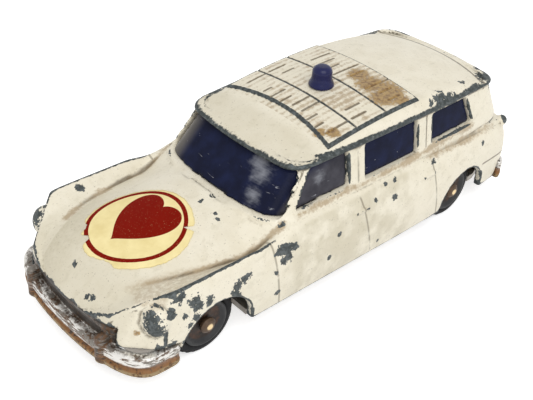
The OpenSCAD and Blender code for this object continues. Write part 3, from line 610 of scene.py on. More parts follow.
rise = slope_at(casting_field, body_points)
body_normals = rise/most(np.linalg.norm(rise, axis=1), 1e-9)[:, None]
out = standing_out(body_points, body_quads, body_normals)
b_x, b_y, b_z = body_points.T
rail_z = b_z - gutter_z(b_x)
rail_out = cabin_sides(b_x, np.abs(b_y), b_z)
front_share, rear_share = ease((b_x - 4)/3), ease((-24 - b_x)/2)
rail_worn = np.hypot(rail_out, rail_z) - 0.17 + 0.15*rear_share + front_share*most(rail_z - 0.1, 0)
body_lines = least(lines_at(body_points, PANEL_LINES), lines_at(body_points, PILLAR_LINES) - 0.04)
# The line mark holds the panel and pillar lines and also a painted shadow line 0.45 mm under each roof rail.
body_marks = dict(
    edge=out, chip=spots_at(body_points, CHIPS), rust=spots_at(body_points, RUST),
    worn=least(lines_at(body_points, WORN_LINES), rail_worn), grime=lines_at(body_points, GRIME_LINES),
    line=least(body_lines, np.hypot(rail_out, rail_z + 0.45)))
print(f"edges stand out up to {np.percentile(out, 99.5):.2f} mm, hollows down to {np.percentile(out, 0.5):.2f} mm")

# %% [markdown]
# ## Cream enamel
#
# The enamel is a warm white with a soft gloss. It has chipped to dull slate grey metal at edges and knocks, brown
# dirt lies in the hollows, and fine specks cover it all. Handling has soiled the doors and the front of the roof.
# The far half of the bonnet and a thin line under each roof rail are darkened as painted shade, and the inner slope
# of the near wing partly as dirt and partly as painted shade. Each kind of mark is a mask made of a stored number or
# a place plus noise. Chips are cut sharply, since they have a crisp rim.

# %% Enamel finish
CREAM, CREAM_DULL = (0.83, 0.775, 0.635), (0.70, 0.635, 0.48)
SLATE, SLATE_PALE, DIRT_AND_SHADE = (0.048, 0.056, 0.055), (0.125, 0.14, 0.142), (0.11, 0.08, 0.042)
GRIME_AND_SHADE, SOILED_AND_SHADE = (0.33, 0.22, 0.10), (0.45, 0.40, 0.27)
RUST_BROWN, RUST_PALE = (0.15, 0.068, 0.012), (0.37, 0.225, 0.065)
DOOR_LINES = ((11.54, 0.164), (-4.34, 0.294), (-17.2, 0.267))
ROOF_SEAM, SEAM_BOW, TAIL_LINE_Z, TAIL_LINE_RISE = -27.0, 0.02, 7.15, 0.02
WING_EDGE_X, WING_EDGE_Y, WING_EDGE_SLOPE = 20, 9.6, -0.33


def enamel(name):
    f = Finish(name)
    coarse, fine, speck = f.noise(0.35, 4), f.noise(2.2, 4, 0.65), f.noise(5.0, 2)
    jag, sway = fine - 0.5, coarse - 0.5
    ragged = (f.noise(1.1, 4, 0.6) - 0.5)*2.2 + jag*1.2 + (speck - 0.5)*0.6
    chips = (f.mark("chip") + ragged).ramp(0.0, 0.08)
    edges = (f.mark("edge") + jag*0.14 + sway*0.12).ramp(0.165, 0.18)
    worn = (f.mark("worn") + jag*0.35).ramp(0.26, 0.18)
    bare = chips | edges | worn
    front, middle, rear = (abs(f.x - foot - f.z*lean) for foot, lean in DOOR_LINES)
    doors = (front & middle & rear).ramp(0.2, 0.06)*coarse.ramp(0.35, 0.5)
    doors = doors*f.z.ramp(12.6, 12.2)*abs(f.y).ramp(10.4, 10.6)
    seam = abs(f.x - ROOF_SEAM - f.y*f.y*SEAM_BOW) + jag*0.15
    seam = seam.ramp(0.26, 0.14)*f.z.ramp(18.0, 18.2)
    tail_line = abs(f.z - TAIL_LINE_Z - (f.x + 29)*TAIL_LINE_RISE) + jag*0.1
    tail_line = tail_line.ramp(0.18, 0.08)*f.x.ramp(-25.4, -25.8)
    # Dark lines: panel, door and pillar joints, and the painted shadow line under each roof rail.
    lines = (f.mark("line") + jag*0.10).ramp(0.16, 0.06) | (doors*0.7) | seam | tail_line
    grime = (f.mark("grime") + jag*1.3 + sway*1.6).ramp(0.6, 0.0)
    hollow = (f.mark("edge")*-1 + jag*0.12 + sway*0.10).ramp(0.05, 0.16)
    rust = (f.mark("rust") + jag*1.4).ramp(0.0, 0.42)
    specks = speck.ramp(0.64, 0.76)*0.55
    paint = f.blend(coarse.ramp(0.35, 0.75)*0.45, CREAM, CREAM_DULL)
    paint = f.blend(fine.ramp(0.48, 0.72)*0.22, paint, CREAM_DULL)
    edge_y = (f.x - WING_EDGE_X)*WING_EDGE_SLOPE + WING_EDGE_Y
    # Painted shade: the far half of the bonnet, inboard of the wing crease, is darkened towards a dull grey-brown.
    far_bonnet_shade = f.x.ramp(15, 30)*f.y.ramp(5, -9)*(0.35 + fine*0.6)*(f.y + edge_y).ramp(-0.3, 0.3)
    nose_soil = f.x.ramp(24, 31)*abs(f.y).ramp(9.5, 8.5)*0.3
    door_soil = abs(f.y).ramp(11.2, 11.6)*f.x.ramp(12, 9)*f.x.ramp(-12, -8)*coarse.ramp(0.3, 0.6)*0.4
    roof_soil = f.z.ramp(18.6, 18.9)*f.x.ramp(3, 5)*0.25
    # Painted shade on the far half of the bonnet, with soiling from handling on the nose, doors and front of the
    # roof.
    paint = f.blend(far_bonnet_shade | nose_soil | door_soil | roof_soil, paint, SOILED_AND_SHADE)
    # The inner slope of the near wing, from the crease up to the ridge: partly brown dirt, partly painted shade.
    inner_wing_dirt_and_shade = (f.y - edge_y).ramp(-0.8, 0.3)*f.y.ramp(11.6, 11.2)*f.z.ramp(10.6, 11.0)*f.x.ramp(14, 18)
    paint = f.blend(inner_wing_dirt_and_shade*fine.ramp(0.3, 0.6)*0.4, paint, GRIME_AND_SHADE)
    paint = f.blend(f.noise(0.8, 4, 0.6, 0.4).ramp(0.52, 0.72)*0.22, paint, SOILED_AND_SHADE)
    paint = f.blend(specks, paint, DIRT_AND_SHADE)
    paint = f.blend(grime*0.7, paint, GRIME_AND_SHADE)
    # Dirt in the hollows and the dark lines, among them the painted shadow under the roof rails.
    paint = f.blend((hollow*0.75) | (lines*0.8), paint, DIRT_AND_SHADE)
    paint = f.blend(rust*0.9, paint, f.blend(fine.ramp(0.35, 0.6), RUST_BROWN, RUST_PALE))
    height = 1 - bare*0.8 - lines*0.9 + jag*0.15
    return f.look(
        Base_Color=f.blend(bare, paint, f.blend(fine.ramp(0.4, 0.7), SLATE, SLATE_PALE)),
        Roughness=0.38 + fine*0.12 + bare*0.12 + hollow*0.25,
        Metallic=bare*0.35,
        Coat_Weight=0.15 - bare*0.15,
        Specular_IOR_Level=0.3,
        Normal=f.bump(height, 0.6, 0.08))


cream = enamel("cream_enamel")
body = piece("body_casting", body_points, body_quads, cream, nodes=["body_shell"])
mark(body, **body_marks)

# %% [markdown]
# ## Dark blue glazing
#
# On such toys one moulding makes all the windows: a cap under the roof whose panes stand out into the openings.
# The same field gives it, a little smaller than the cabin, and smaller still wherever there is no window. A grey
# film and a dust smear lie on the front side window. The windscreen has a grey painted reflection along its far
# side and pale painted highlights on its near side, and fine scratches lie on all of it.

# %% Glazing
PANE_IN, CAP_IN, GLASS_T, GLASS_FOOT = 0.55, 1.4, 0.6, 12.5
GLASS_LOW, GLASS_HIGH, GLASS_STEP = (-31, -11.625, 12.1), (15, 11.8, 21.5), 0.33


def glazing_field(x, y, z):
    y = np.abs(y)
    cabin = cabin_field(x, y, z)
    panes = soft_max(cabin + PANE_IN, window_field(x, y, z) + 0.08, 0.2)
    hollow = cabin + CAP_IN + GLASS_T
    return most(most(least(cabin + CAP_IN, panes), -hollow), GLASS_FOOT - z)


NAVY, SMEAR_AND_HIGHLIGHT, SCRATCH = (0.011, 0.013, 0.030), (0.30, 0.31, 0.34), (0.45, 0.46, 0.50)
BLUE_HAZE, FILM_AND_REFLECTION = (0.016, 0.021, 0.058), (0.20, 0.185, 0.16)
# One dust smear on the front side window; the three spots on the windscreen are painted highlights.
GLASS_DUST_AND_HIGHLIGHTS = [(4.4, 9.9, 16.2, 1.3), (9.0, 4.6, 17.3, 2.0), (9.5, 5.2, 16.2, 1.8), (11.5, 6.0, 14.6, 1.6)]


def blue_glass(name):
    f = Finish(name)
    haze, streak = f.noise(0.5, 4), f.noise(1.2, 5, 0.7, stretch=(1, 0.25, 2.5))
    # Dust and painted highlights in one mask, turned pale grey.
    dust = ((f.mark("dust") + (haze - 0.5)*2 + (streak - 0.5)*1.1).ramp(0.1, 1.3))*0.8
    # A painted reflection: the far side of the windscreen turns warm grey.
    screen_reflection = f.x.ramp(7.5, 9)*f.y.ramp(-5.8, -8.6)*(0.6 + haze*0.5)
    side_film = abs(f.y).ramp(9.0, 9.4)*f.x.ramp(-1.4, -1.0)*haze*0.5
    lines = f.noise(0.9, 2, 0.5, 0.6, (0.6, 0.5, 3)).ramp(0.66, 0.68)*streak.ramp(0.55, 0.65)
    tint = f.blend(screen_reflection | side_film, f.blend(haze.ramp(0.3, 0.8), NAVY, BLUE_HAZE), FILM_AND_REFLECTION)
    return f.look(
        Base_Color=f.blend(lines*0.7, f.blend(dust, tint, SMEAR_AND_HIGHLIGHT), SCRATCH),
        Roughness=0.12 + dust*0.4 + lines*0.3 + haze*0.1,
        Specular_IOR_Level=0.03,
        Normal=f.bump(streak, 0.15, 0.03))


glass = blue_glass("navy_glazing")
glass_points, glass_quads = draw_surface(glazing_field, GLASS_LOW, GLASS_HIGH, GLASS_STEP)
panes = piece("blue_windows", glass_points, glass_quads, glass, nodes=["window_glazing"])
mark(panes, dust=spots_at(glass_points, GLASS_DUST_AND_HIGHLIGHTS))

# %% [markdown]
# ## Skins through rows of points
#
# Anything turned or rolled can be drawn as rows of points with faces between them: each row is a closed loop, and
# the first and last loops are closed with one face. A lathe is the case where every row is a circle.

# %% Skin and lathe
def skin(rows):
    rows = np.asarray(rows)
    m, n = rows.shape[:2]
    grid = np.arange(m*n).reshape(m, n)
    a, b = grid[:-1], grid[1:]
    sides = np.stack([a, np.roll(a, -1, 1), np.roll(b, -1, 1), b], 2).reshape(-1, 4)
    return rows.reshape(-1, 3), [*sides, grid[0][::-1], grid[-1]]


def lathe(profile, turns, wobble=None):
    """Rows of circles about Z from (radius, height) pairs; wobble(angle, radius) is added to the radius."""
    angle = np.arange(turns)*2*math.pi/turns
    rows = []
    for r, h in profile:
        radius = r + (wobble(angle, r) if wobble else 0*angle)
        rows.append(np.stack([radius*np.cos(angle), radius*np.sin(angle), 0*angle + h], 1))
    return np.array(rows)


def arc(middle, r, start, end, n):
    """Points of an arc in a profile, with angles in degrees from the radius axis."""
    return [(middle[0] + r*math.cos(a), middle[1] + r*math.sin(a)) for a in np.radians(np.linspace(start, end, n))]


print("a cone of three rows:", len(skin(lathe([(3, 0), (2, 1), (1, 2)], 8))[1]), "faces")

# %% [markdown]
# ## Roof rack
#
# The rack is cast with the roof: a low platform in three bays, with a worn rim and boards that run along the car.
# Dirt lies between the boards, and the gaps show only as short dashes where paint has not filled them. A fine grid
# over the roof carries these lines far better than the coarse mesh of the casting would.

# %% Rack
RACK_FRONT, RACK_REAR, RACK_HALF, RACK_H, RACK_STEP = 2.95, -12.4, 8.85, 0.28, 0.11
BARS, FRONT_BOW, SKIRT, SLAT = (-1.84, -6.85), 1.1, 0.12, 0.9
RACK_RUST = [
    (-9.8, 1.2, 21.2, 1.9), (-9.4, 3.6, 21.1, 2.4), (-10.4, 5.9, 20.9, 2.4), (-8.6, 6.4, 20.7, 2.2),
    (-10.2, 8.0, 20.6, 1.6), (1.0, 7.6, 20.0, 1.1), (2.2, 6.6, 20.0, 0.9),
]


def rack_front(y): return RACK_FRONT - FRONT_BOW*(1 - (y/RACK_HALF)**2)


rim_y = np.linspace(-RACK_HALF, RACK_HALF, 13)
rack_rim = [[(rack_front(a), a), (rack_front(b), b)] for a, b in zip(rim_y, rim_y[1:])]
rack_rim += [[(RACK_FRONT, y), (RACK_REAR, y)] for y in (-RACK_HALF, RACK_HALF)]
rack_rim += [[(RACK_REAR, RACK_HALF), (RACK_REAR, -RACK_HALF)]]
rack_bars = [[(x, RACK_HALF), (x, -RACK_HALF)] for x in BARS]
rack_dashes = []
random_gap = np.random.default_rng(7)
for front, rear in ((RACK_FRONT, BARS[0]), (BARS[0], BARS[1]), (BARS[1], RACK_REAR)):
    for y in np.linspace(-7.2, 7.2, 10):
        length, start = random_gap.uniform(0.3, 1.0), random_gap.uniform(0, 0.4)
        if not (rear < -6 < front and abs(y) < 3) and random_gap.random() < 0.8:
            first = min(mix(front, rear, start), rack_front(y) - 0.1)
            rack_dashes.append([(first, y), (max(first - length*(front - rear)*0.8, rear), y)])


def on_rack(values): return np.concatenate([values, values[:, ::-1]], 1).reshape(-1)


rack_x = np.linspace(RACK_FRONT + SKIRT, RACK_REAR - SKIRT, round((RACK_FRONT - RACK_REAR)/RACK_STEP))
rack_y = np.linspace(-RACK_HALF - SKIRT, RACK_HALF + SKIRT, round(2*RACK_HALF/RACK_STEP))
flat = np.stack(np.meshgrid(rack_x, rack_y, indexing="ij"), 2)
along, across = flat[..., 0], flat[..., 1]
rim, bars, dashes = (runs_at(flat, lines) for lines in (rack_rim, rack_bars, rack_dashes))
slats = np.abs((across/SLAT + 0.5) % 1 - 0.5)*SLAT
inner = least(RACK_HALF - np.abs(across), least(rack_front(across) - along, along - RACK_REAR))
height = RACK_H*ease((inner + SKIRT)/0.3) + 0.1*ease(1 - rim/0.35)
height = height - 0.13*ease(1 - bars/0.22) - 0.13*ease(1 - dashes/0.18)
top = np.dstack([flat, roof_z(along, across) + height])
under = np.dstack([flat, roof_z(along, across) - SKIRT])
rack_points, rack_faces = skin(np.concatenate([top, under[:, ::-1]], 1))
rack = piece("roof_rack", rack_points, rack_faces, cream)
rim_worn = rim + np.where(across > RACK_HALF - 0.5, -0.02, 0.02)
mark(
    rack, edge=on_rack(0*rim), chip=on_rack(0*rim - 9), grime=on_rack(0.26 + 0.9*slats),
    rust=spots_at(rack_points, RACK_RUST), worn=on_rack(least(rim_worn, bars + 0.1)),
    line=on_rack(least(bars, dashes) - 0.05))

# %% [markdown]
# ## Beacon
#
# The beacon is one blue plastic turning: a foot that flares, a neck and a domed cap. It goes through a hole in
# the roof, so the profile starts below the rack.

# %% Beacon
FOOT_LINE = (
    (0.05, -1.2), (0.8, -1.2), (0.8, 0.02), (1.52, 0.02), (1.6, 0.12), (1.56, 0.35), (1.42, 0.62), (1.3, 0.9),
    (1.26, 1.3))
BEACON_DEEP, BEACON_BLUE, BEACON_SPECK = (0.008, 0.009, 0.050), (0.012, 0.015, 0.085), (0.09, 0.09, 0.16)
(foot_low, foot_high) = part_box("roof_beacon")
BEACON_X = (foot_low[0] + foot_high[0])/2/MM
BEACON_TOP, BEACON_FOOT = foot_high[2]/MM, float(roof_z(BEACON_X, 0.0)) + RACK_H
profile = [(r, BEACON_FOOT + h) for r, h in FOOT_LINE] + [(1.25, BEACON_TOP - 0.95)]
profile += arc((0.45, BEACON_TOP - 0.8), 0.8, 0, 88, 9) + [(0.05, BEACON_TOP)]
beacon_points, beacon_faces = skin(lathe(profile, 64) + (BEACON_X, 0, 0))


def beacon_plastic(name):
    f = Finish(name)
    haze, grain = f.noise(0.8, 4), f.noise(4.0, 3)
    blue = f.blend(haze, BEACON_DEEP, BEACON_BLUE)
    return f.look(
        Base_Color=f.blend(grain.ramp(0.66, 0.76)*0.4, blue, BEACON_SPECK),
        Roughness=0.16 + haze*0.2,
        Specular_IOR_Level=0.25,
        Normal=f.bump(haze + grain*0.3, 0.2, 0.05))


piece("blue_beacon", beacon_points, beacon_faces, beacon_plastic("blue_plastic"), nodes=["roof_beacon"])

# %% [markdown]
# ## Bonnet label
#
# A paper disc, yellowed, printed off-centre with a red ring and a plain heart, and torn at the front. The disc is
# drawn as rings of points draped over the bonnet, with the tears in its rim, so its edge is real. The print is
# a function of the place on the disc.

# %% Label
LABEL_X, LABEL_Y, LABEL_R, LABEL_T, LABEL_TURNS = 23.45, 0.25, 6.3, 0.1, 360
TEARS = [(-28, 9, 0.9), (-46, 10, 0.5), (135, 4, 1.1), (18, 14, 0.55), (4, 7, 0.3)]
PRINT_X, PRINT_Y, RING_R, HEART = LABEL_X - 0.05, LABEL_Y - 0.35, 5.55, 3.6
PAPER, PAPER_OLD, PAPER_MARK = (0.93, 0.80, 0.42), (0.80, 0.66, 0.31), (0.35, 0.24, 0.09)
INK, INK_DARK = (0.235, 0.009, 0.003), (0.19, 0.006, 0.002)


def torn_edge(angle):
    """Radius of the disc; each tear has a direction, a half width in degrees and a depth."""
    radius = LABEL_R + 0.03*np.sin(23*angle) + 0.02*np.sin(61*angle + 1)
    for way, half, depth in TEARS:
        off = np.abs((np.degrees(angle) - way + 180) % 360 - 180)/half
        radius = radius - depth*ease(1.3*(1 - off))
    return radius


angle = np.arange(LABEL_TURNS)*2*math.pi/LABEL_TURNS
rows = []
rings = [(s, LABEL_T) for s in np.linspace(0.004, 1, 30)] + [(s, 0.0) for s in np.linspace(1, 0.004, 6)]
for share, lift in rings:
    x = LABEL_X + share*torn_edge(angle)*np.cos(angle)
    y = LABEL_Y + share*torn_edge(angle)*np.sin(angle)
    rows.append(np.stack([x, y, bonnet_at(x, np.abs(y)) + lift + 0.02], 1))
label_points, label_faces = skin(rows)


def printed_paper(name):
    f = Finish(name)
    fine, soft, grain = f.noise(3.0, 3), f.noise(0.5, 3), f.noise(9.0, 2)
    u, v = f.x - PRINT_X, f.y - PRINT_Y
    radius = (u*u + v*v)**0.5
    ring = (abs(radius - RING_R) + (fine - 0.5)*0.06).ramp(0.27, 0.23)
    p, q = abs(v)/HEART, (u*-1 - 0.1)/HEART
    lobe = q - p**0.67*0.62
    heart = (p*p + lobe*lobe + (fine - 0.5)*0.02).ramp(1.02, 0.98)
    ink = (ring | heart)*(1 - grain.ramp(0.66, 0.74)*0.35)
    marks = fine.ramp(0.68, 0.78)*0.3
    paper = f.blend(marks, f.blend(soft.ramp(0.3, 0.8), PAPER, PAPER_OLD), PAPER_MARK)
    return f.look(
        Base_Color=f.blend(ink, paper, f.blend(soft, INK, INK_DARK)),
        Roughness=0.42 + fine*0.15,
        Specular_IOR_Level=0.03,
        Normal=f.bump(fine*0.5 + grain*0.5, 0.1, 0.03))


piece("paper_label", label_points, label_faces, printed_paper("printed_paper"), nodes=["bonnet_label"])

# %% [markdown]
# ## Bumpers and grille
#
# Each end has one plated moulding: a bumper in two bands with a groove between, and at the nose also a grille bar
# and two overriders. They follow the plan of the body, but squarer at the nose, so the same function with another
# power gives the distance outward, and each band is a rounded bar in that distance and height.

# %% Bumper fields
GROOVE_Z, GROOVE_R, BUMPER_POWER, BUMPER_STEP = 3.95, 0.3, 8, 0.2
BAR_IN, BAR_LOW = -1.2, 2.7
FRONT_OUT, FRONT_TOP, FRONT_END, FRONT_RIDER = 0.32, 5.5, 26.55, 6.9
REAR_OUT, REAR_TOP, REAR_END, REAR_RIDER = 0.42, 5.45, -30.35, 6.4
RIDER_IN, RIDER_LOW, RIDER_HALF, GRILLE_IN, GRILLE_END = -1.0, 2.8, 0.6, -2.2, 8.0


def rounded(p, q, r):
    """A rounded bar whose half sizes are taken off p and q beforehand."""
    return np.hypot(most(p + r, 0), most(q + r, 0)) + least(most(p, q) + r, 0) - r


def band(out, z, inside, outside, low, high, r):
    """A rounded bar between two distances outward and two heights."""
    depth = np.abs(out - (inside + outside)/2) - (outside - inside)/2
    return rounded(depth, np.abs(z - (low + high)/2) - (high - low)/2, r)


def bumper_out(x, y):
    """Distance outward of the bumpers, whose plan is squarer at the nose than the body's."""
    half = plan_half(x)
    u, v = most((x - NOSE_START)/NOSE_RUN, 0), most((TAIL_START - x)/TAIL_RUN, 0)
    return plan_distance(u, v, y/half, half, BUMPER_POWER)


def grooved_bar(out, z, outside, top):
    bar = band(out, z, BAR_IN, outside, BAR_LOW, top, 0.5)
    return soft_max(bar, GROOVE_R - np.hypot(out - outside, z - GROOVE_Z), 0.15)


def front_bumper_field(x, y, z):
    y = np.abs(y)
    out = bumper_out(x, y)
    bars = soft_max(soft_max(grooved_bar(out, z, FRONT_OUT, FRONT_TOP), FRONT_END - x, 0.8), y - HALF, 0.3)
    grille = soft_max(band(out, z, GRILLE_IN, -1.0, 5.0, 7.75, 0.2), y - GRILLE_END, 0.3)
    lip = soft_max(band(out, z, GRILLE_IN, -0.6, 6.75, 7.7, 0.3), y - GRILLE_END, 0.2)
    grille = soft_min(grille, lip, 0.1)
    rider = soft_max(band(out, z, RIDER_IN, 0.6, RIDER_LOW, 6.9, 0.5), np.abs(y - FRONT_RIDER) - RIDER_HALF, 0.6)
    return soft_min(least(bars, grille), rider, 0.25)


def rear_bumper_field(x, y, z):
    y = np.abs(y)
    out = bumper_out(x, y)
    rider = band(out, z, RIDER_IN, 0.52, RIDER_LOW, REAR_TOP, 0.4)
    rider = soft_max(rider, np.abs(y - REAR_RIDER) - RIDER_HALF, 0.5)
    return soft_min(soft_max(grooved_bar(out, z, REAR_OUT, REAR_TOP), x - REAR_END, 0.3), rider, 0.25)


SILVER, BRIGHT, BRONZE = (0.20, 0.18, 0.155), (0.74, 0.72, 0.68), (0.10, 0.046, 0.016)
ORANGE, TAN, SOOT_AND_SHADE = (0.22, 0.09, 0.022), (0.36, 0.25, 0.115), (0.022, 0.016, 0.011)


def worn_plating(name):
    f = Finish(name)
    fine, blot = f.noise(2.5, 4, 0.65), f.noise(0.55, 4, 0.6)
    jag, sway = fine - 0.5, blot - 0.5
    scratch = f.noise(1.3, 4, 0.65, stretch=(0.6, 0.35, 3))
    height = f.z + jag*0.7
    upper = height.ramp(4.2, 4.4)*height.ramp(5.7, 5.4)
    # Painted shade under the bonnet lip: the grille band goes almost black, with lighter patches on its top bar.
    recess_shade = height.ramp(5.4, 5.7)*(1 - height.ramp(6.6, 6.9)*scratch.ramp(0.48, 0.6)*0.7)
    ends = abs(f.y).ramp(7.2, 8.2)
    groove = (abs(f.z - GROOVE_Z) + jag*0.5).ramp(0.6, 0.3)
    low = height.ramp(3.9, 3.6)
    colour = f.blend((blot + jag*0.7).ramp(0.44, 0.56)*0.9, SILVER, BRONZE)
    rider = (abs(abs(f.y) - FRONT_RIDER) + jag*0.4).ramp(0.85, 0.6)*f.x.ramp(20, 21)
    colour = f.blend(low*0.8, colour, f.blend((fine + sway*0.6).ramp(0.50, 0.62), TAN, BRONZE))
    shine = (scratch + sway*0.5 + ends*0.08).ramp(0.50, 0.57)*upper*(1 - rider*0.8)
    colour = f.blend(shine, colour, BRIGHT)
    colour = f.blend(groove*0.85, colour, f.blend(fine.ramp(0.5, 0.65), ORANGE, SOOT_AND_SHADE))
    colour = f.blend(rider*scratch.ramp(0.56, 0.46)*0.9, colour, f.blend(fine.ramp(0.4, 0.55), SOOT_AND_SHADE, BRONZE))
    # The grille band under the bonnet lip, darkened as painted shade.
    colour = f.blend(recess_shade*0.95*(1 - rider), colour, f.blend(scratch.ramp(0.55, 0.65), SOOT_AND_SHADE, BRONZE))
    return f.look(
        Base_Color=colour,
        Metallic=upper*0.3 + 0.2,
        Roughness=0.3 + fine*0.25 + low*0.2,
        Normal=f.bump(fine + scratch*0.5, 0.5, 0.1))


plating = worn_plating("worn_plating")
points, quads = draw_surface(front_bumper_field, (25.8, -13.1, 2.3), (34.6, 13.2, 8.4), BUMPER_STEP)
piece("nose_bumper", points, quads, plating, nodes=["front_bumper"])
points, quads = draw_surface(rear_bumper_field, (-34.5, -12.9, 2.3), (-29.4, 13.0, 6.1), BUMPER_STEP)
piece("tail_bumper", points, quads, plating, nodes=["rear_bumper"])

# %% [markdown]
# ## Wheels
#
# A black tyre with a moulded tread sits on a small brown dished hub. Both are turned about the axle. The tread is
# made by letting the radius step with the angle, in real geometry, because it shows in the outline of the tyre.

# %% Tyres and hubs
TREAD_BLOCKS, TREAD_DEPTH, TREAD_FROM = 26, 0.24, 4.0
TYRE_BORE, HUB_BORE, HUB_R = 3.02, 0.66, 3.0
HUB_FACE = ((HUB_R, 0.15), (2.9, 0), (2.7, 0), (2.5, 0.15), (2.2, 0.55), (1.5, 0.6), (1.2, 0.45), (HUB_BORE, 0.4))
BLACK, DUSTY = (0.012, 0.012, 0.013), (0.045, 0.042, 0.038)
HUB_DARK, HUB_BROWN = (0.022, 0.014, 0.010), (0.075, 0.034, 0.018)


def tread(angle, r):
    step = np.sin(TREAD_BLOCKS*angle)
    return -TREAD_DEPTH*ease((step + 0.1)/0.5)*float(r > TREAD_FROM)


def black_rubber(name):
    f = Finish(name)
    fine, dust = f.noise(3.0, 4, 0.65), f.noise(0.8, 3)
    return f.look(
        Base_Color=f.blend(dust.ramp(0.5, 0.8)*0.5, BLACK, DUSTY),
        Roughness=0.55 + fine*0.25,
        Specular_IOR_Level=0.2,
        Normal=f.bump(fine, 0.4, 0.08))


def axle_distance(f):
    front, rear = abs(f.x - AXLES[0]), abs(f.x - AXLES[1])
    along, up = front & rear, f.z - AXLE_Z
    return (along*along + up*up)**0.5


def brown_hub(name):
    f = Finish(name)
    fine, blot = f.noise(3.0, 4, 0.6), f.noise(0.9, 3)
    off = axle_distance(f)
    rim = (off + (fine - 0.5)*0.3).ramp(2.2, 2.35)
    return f.look(
        Base_Color=f.blend(rim, f.blend(blot.ramp(0.4, 0.7), HUB_DARK, HUB_BROWN), BLACK),
        Metallic=(1 - rim)*0.2,
        Roughness=0.4 + fine*0.3,
        Normal=f.bump(fine, 0.4, 0.06))


rubber, hub_metal = black_rubber("black_rubber"), brown_hub("brown_hub")
for end, axle_x in zip(("front", "rear"), AXLES):
    for side, way in (("left", 1), ("right", -1)):
        corner = f"{end}_{side}"
        low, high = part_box("tyre_" + corner)
        inner, outer = sorted((abs(low[1])/MM, abs(high[1])/MM))
        R = (high[2] - low[2])/2/MM
        hub_low, hub_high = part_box("hub_" + corner)
        hub_in, hub_out = sorted((abs(hub_low[1])/MM, abs(hub_high[1])/MM))
        flank = [(TYRE_BORE, 0.1), (3.5, 0), (R - 0.35, 0.08), (R - 0.1, 0.3), (R, 0.55)]
        ring = [(r, inner + h) for r, h in flank] + [(r, outer - h) for r, h in flank[::-1]]
        dish = [(HUB_BORE, hub_in), (2.9, hub_in), (HUB_R, hub_in + 0.1)]
        dish += [(r, hub_out - h) for r, h in HUB_FACE]
        for name, profile, finish, slot, wobble, node in (
                ("rubber_", ring, rubber, "tyre", tread, "tyre_"),
                ("dish_", dish, hub_metal, "hub", None, "hub_")):
            turned = lathe(profile + profile[:1], 208 if wobble else 64, wobble)
            placed = np.stack([axle_x + turned[..., 0], way*turned[..., 2], AXLE_Z + turned[..., 1]], 2)
            points, faces = skin(placed if way < 0 else placed[:, ::-1])
            piece(name + corner, points, faces[:-2], finish, body="wheel_" + corner, nodes=[node + corner])

# %% [markdown]
# ## Base, axles and rivets
#
# The plate under the car, the axles and the rivets keep their solids as they are. They only get a finish: plain
# metal that has dulled. The axles are stained brown, with a painted highlight, a bright yellowed spot, in the
# middle of each head.

# %% Plain metal
AXLE_DARK, AXLE_BROWN, AXLE_TIP_HIGHLIGHT = (0.05, 0.03, 0.02), (0.12, 0.07, 0.035), (0.80, 0.62, 0.36)


def dull_metal(name, colour, stain, rough):
    f = Finish(name)
    fine, blot = f.noise(2.0, 4, 0.6), f.noise(0.4, 3)
    return f.look(
        Base_Color=f.blend(blot.ramp(0.4, 0.75)*0.7, colour, stain),
        Metallic=0.75 - blot.ramp(0.4, 0.75)*0.4,
        Roughness=rough + fine*0.25,
        Normal=f.bump(fine, 0.25, 0.05))


def axle_steel(name):
    f = Finish(name)
    fine = f.noise(3.0, 4, 0.6)
    # A painted highlight: a bright yellowed spot on the axis, in the middle of each axle head.
    tip_highlight = (axle_distance(f) + (fine - 0.5)*0.3).ramp(0.5, 0.3)
    return f.look(
        Base_Color=f.blend(tip_highlight, f.blend(fine, AXLE_DARK, AXLE_BROWN), AXLE_TIP_HIGHLIGHT),
        Metallic=0.4 + tip_highlight*0.3,
        Roughness=0.35 + fine*0.25,
        Normal=f.bump(fine, 0.3, 0.05))


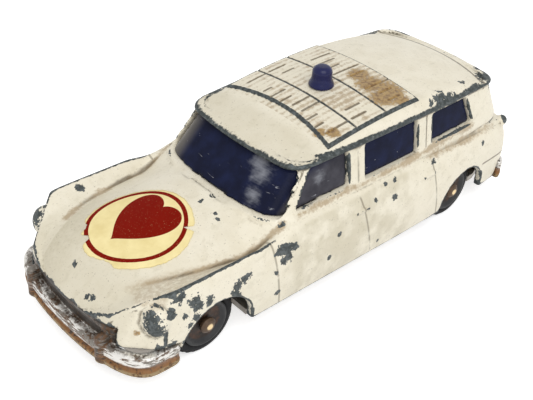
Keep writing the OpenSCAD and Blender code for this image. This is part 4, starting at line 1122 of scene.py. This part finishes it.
base_metal = dull_metal("dull_base", (0.42, 0.39, 0.35), (0.16, 0.12, 0.08), 0.4)
rivet_metal = dull_metal("dull_rivet", (0.55, 0.50, 0.42), (0.25, 0.18, 0.10), 0.35)
axle_metal = axle_steel("axle_steel")
for node, finish in (("base_plate", base_metal), ("front_rivet", rivet_metal), ("rear_rivet", rivet_metal),
        ("front_axle", axle_metal), ("rear_axle", axle_metal)):
    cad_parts[node].data.materials.clear()
    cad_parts[node].data.materials.append(finish)
print("finished the base, rivets and axles")

# %% [markdown]
# ## Floor and light
#
# The toy stands on a pale floor under one wide lamp, as on a photographer's table. The world fills in the shadows.
# Rays from the camera and reflections see plain white, so the background is white without more light on the toy.

# %% Stage
FLOOR, FLOOR_GLOW, AMBIENT = 0.6, 0.55, 0.64


def rays(finish, first, *others):
    """1 for rays of the named kinds and 0 for the rest."""
    hit = finish.node("LightPath", output=f"Is {first} Ray")
    return hit | rays(finish, *others) if others else hit


floor_mesh = bpy.data.meshes.new("floor")
corners = [(a*FLOOR, b*FLOOR, 0) for a, b in ((-1, -1), (1, -1), (1, 1), (-1, 1))]
floor_mesh.from_pydata(corners, [], [(0, 1, 2, 3)])
floor = add("floor", floor_mesh)
floor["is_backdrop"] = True
f = Finish("pale_floor")
seen = rays(f, "Camera", "Glossy", "Transmission")
f.look(
    Base_Color=(0.88, 0.88, 0.88), Roughness=0.9, Specular_IOR_Level=0.1,
    Emission_Color=f.blend(seen, (0, 0, 0), (1, 1, 1)), Emission_Strength=FLOOR_GLOW)
floor_mesh.materials.append(f.material)

sky = Finish("white_room", bpy.data.worlds, "Background")
sky.look(Color=(1, 1, 1), Strength=AMBIENT + rays(sky, "Camera", "Glossy")*(1 - AMBIENT))
scene.world = sky.material

LAMP_WAY, LAMP_FAR, LAMP_SIZE, LAMP_WATTS = Vector((0.3, 0.58, 0.76)).normalized(), 0.5, 0.4, 1.35
light = bpy.data.lights.new("softbox", "AREA")
light.size, light.energy = LAMP_SIZE, LAMP_WATTS
softbox = add("softbox", light)
softbox.location = LAMP_WAY*LAMP_FAR
softbox.rotation_euler = LAMP_WAY.to_track_quat("Z", "Y").to_euler()
scene.view_settings.view_transform = "Standard"
print("stage set")

# %% [markdown]
# ## Sizes
#
# Both boxes are printed, that of the solids and that of the dressed model. The dressed
# model has to fill the same box as the solids.

# %% Finish
visual_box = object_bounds()
for name, box in (("CAD", cad_box), ("visual", visual_box)):
    print(name, "box", [[round(float(v)/MM, 2) for v in c] for c in box])
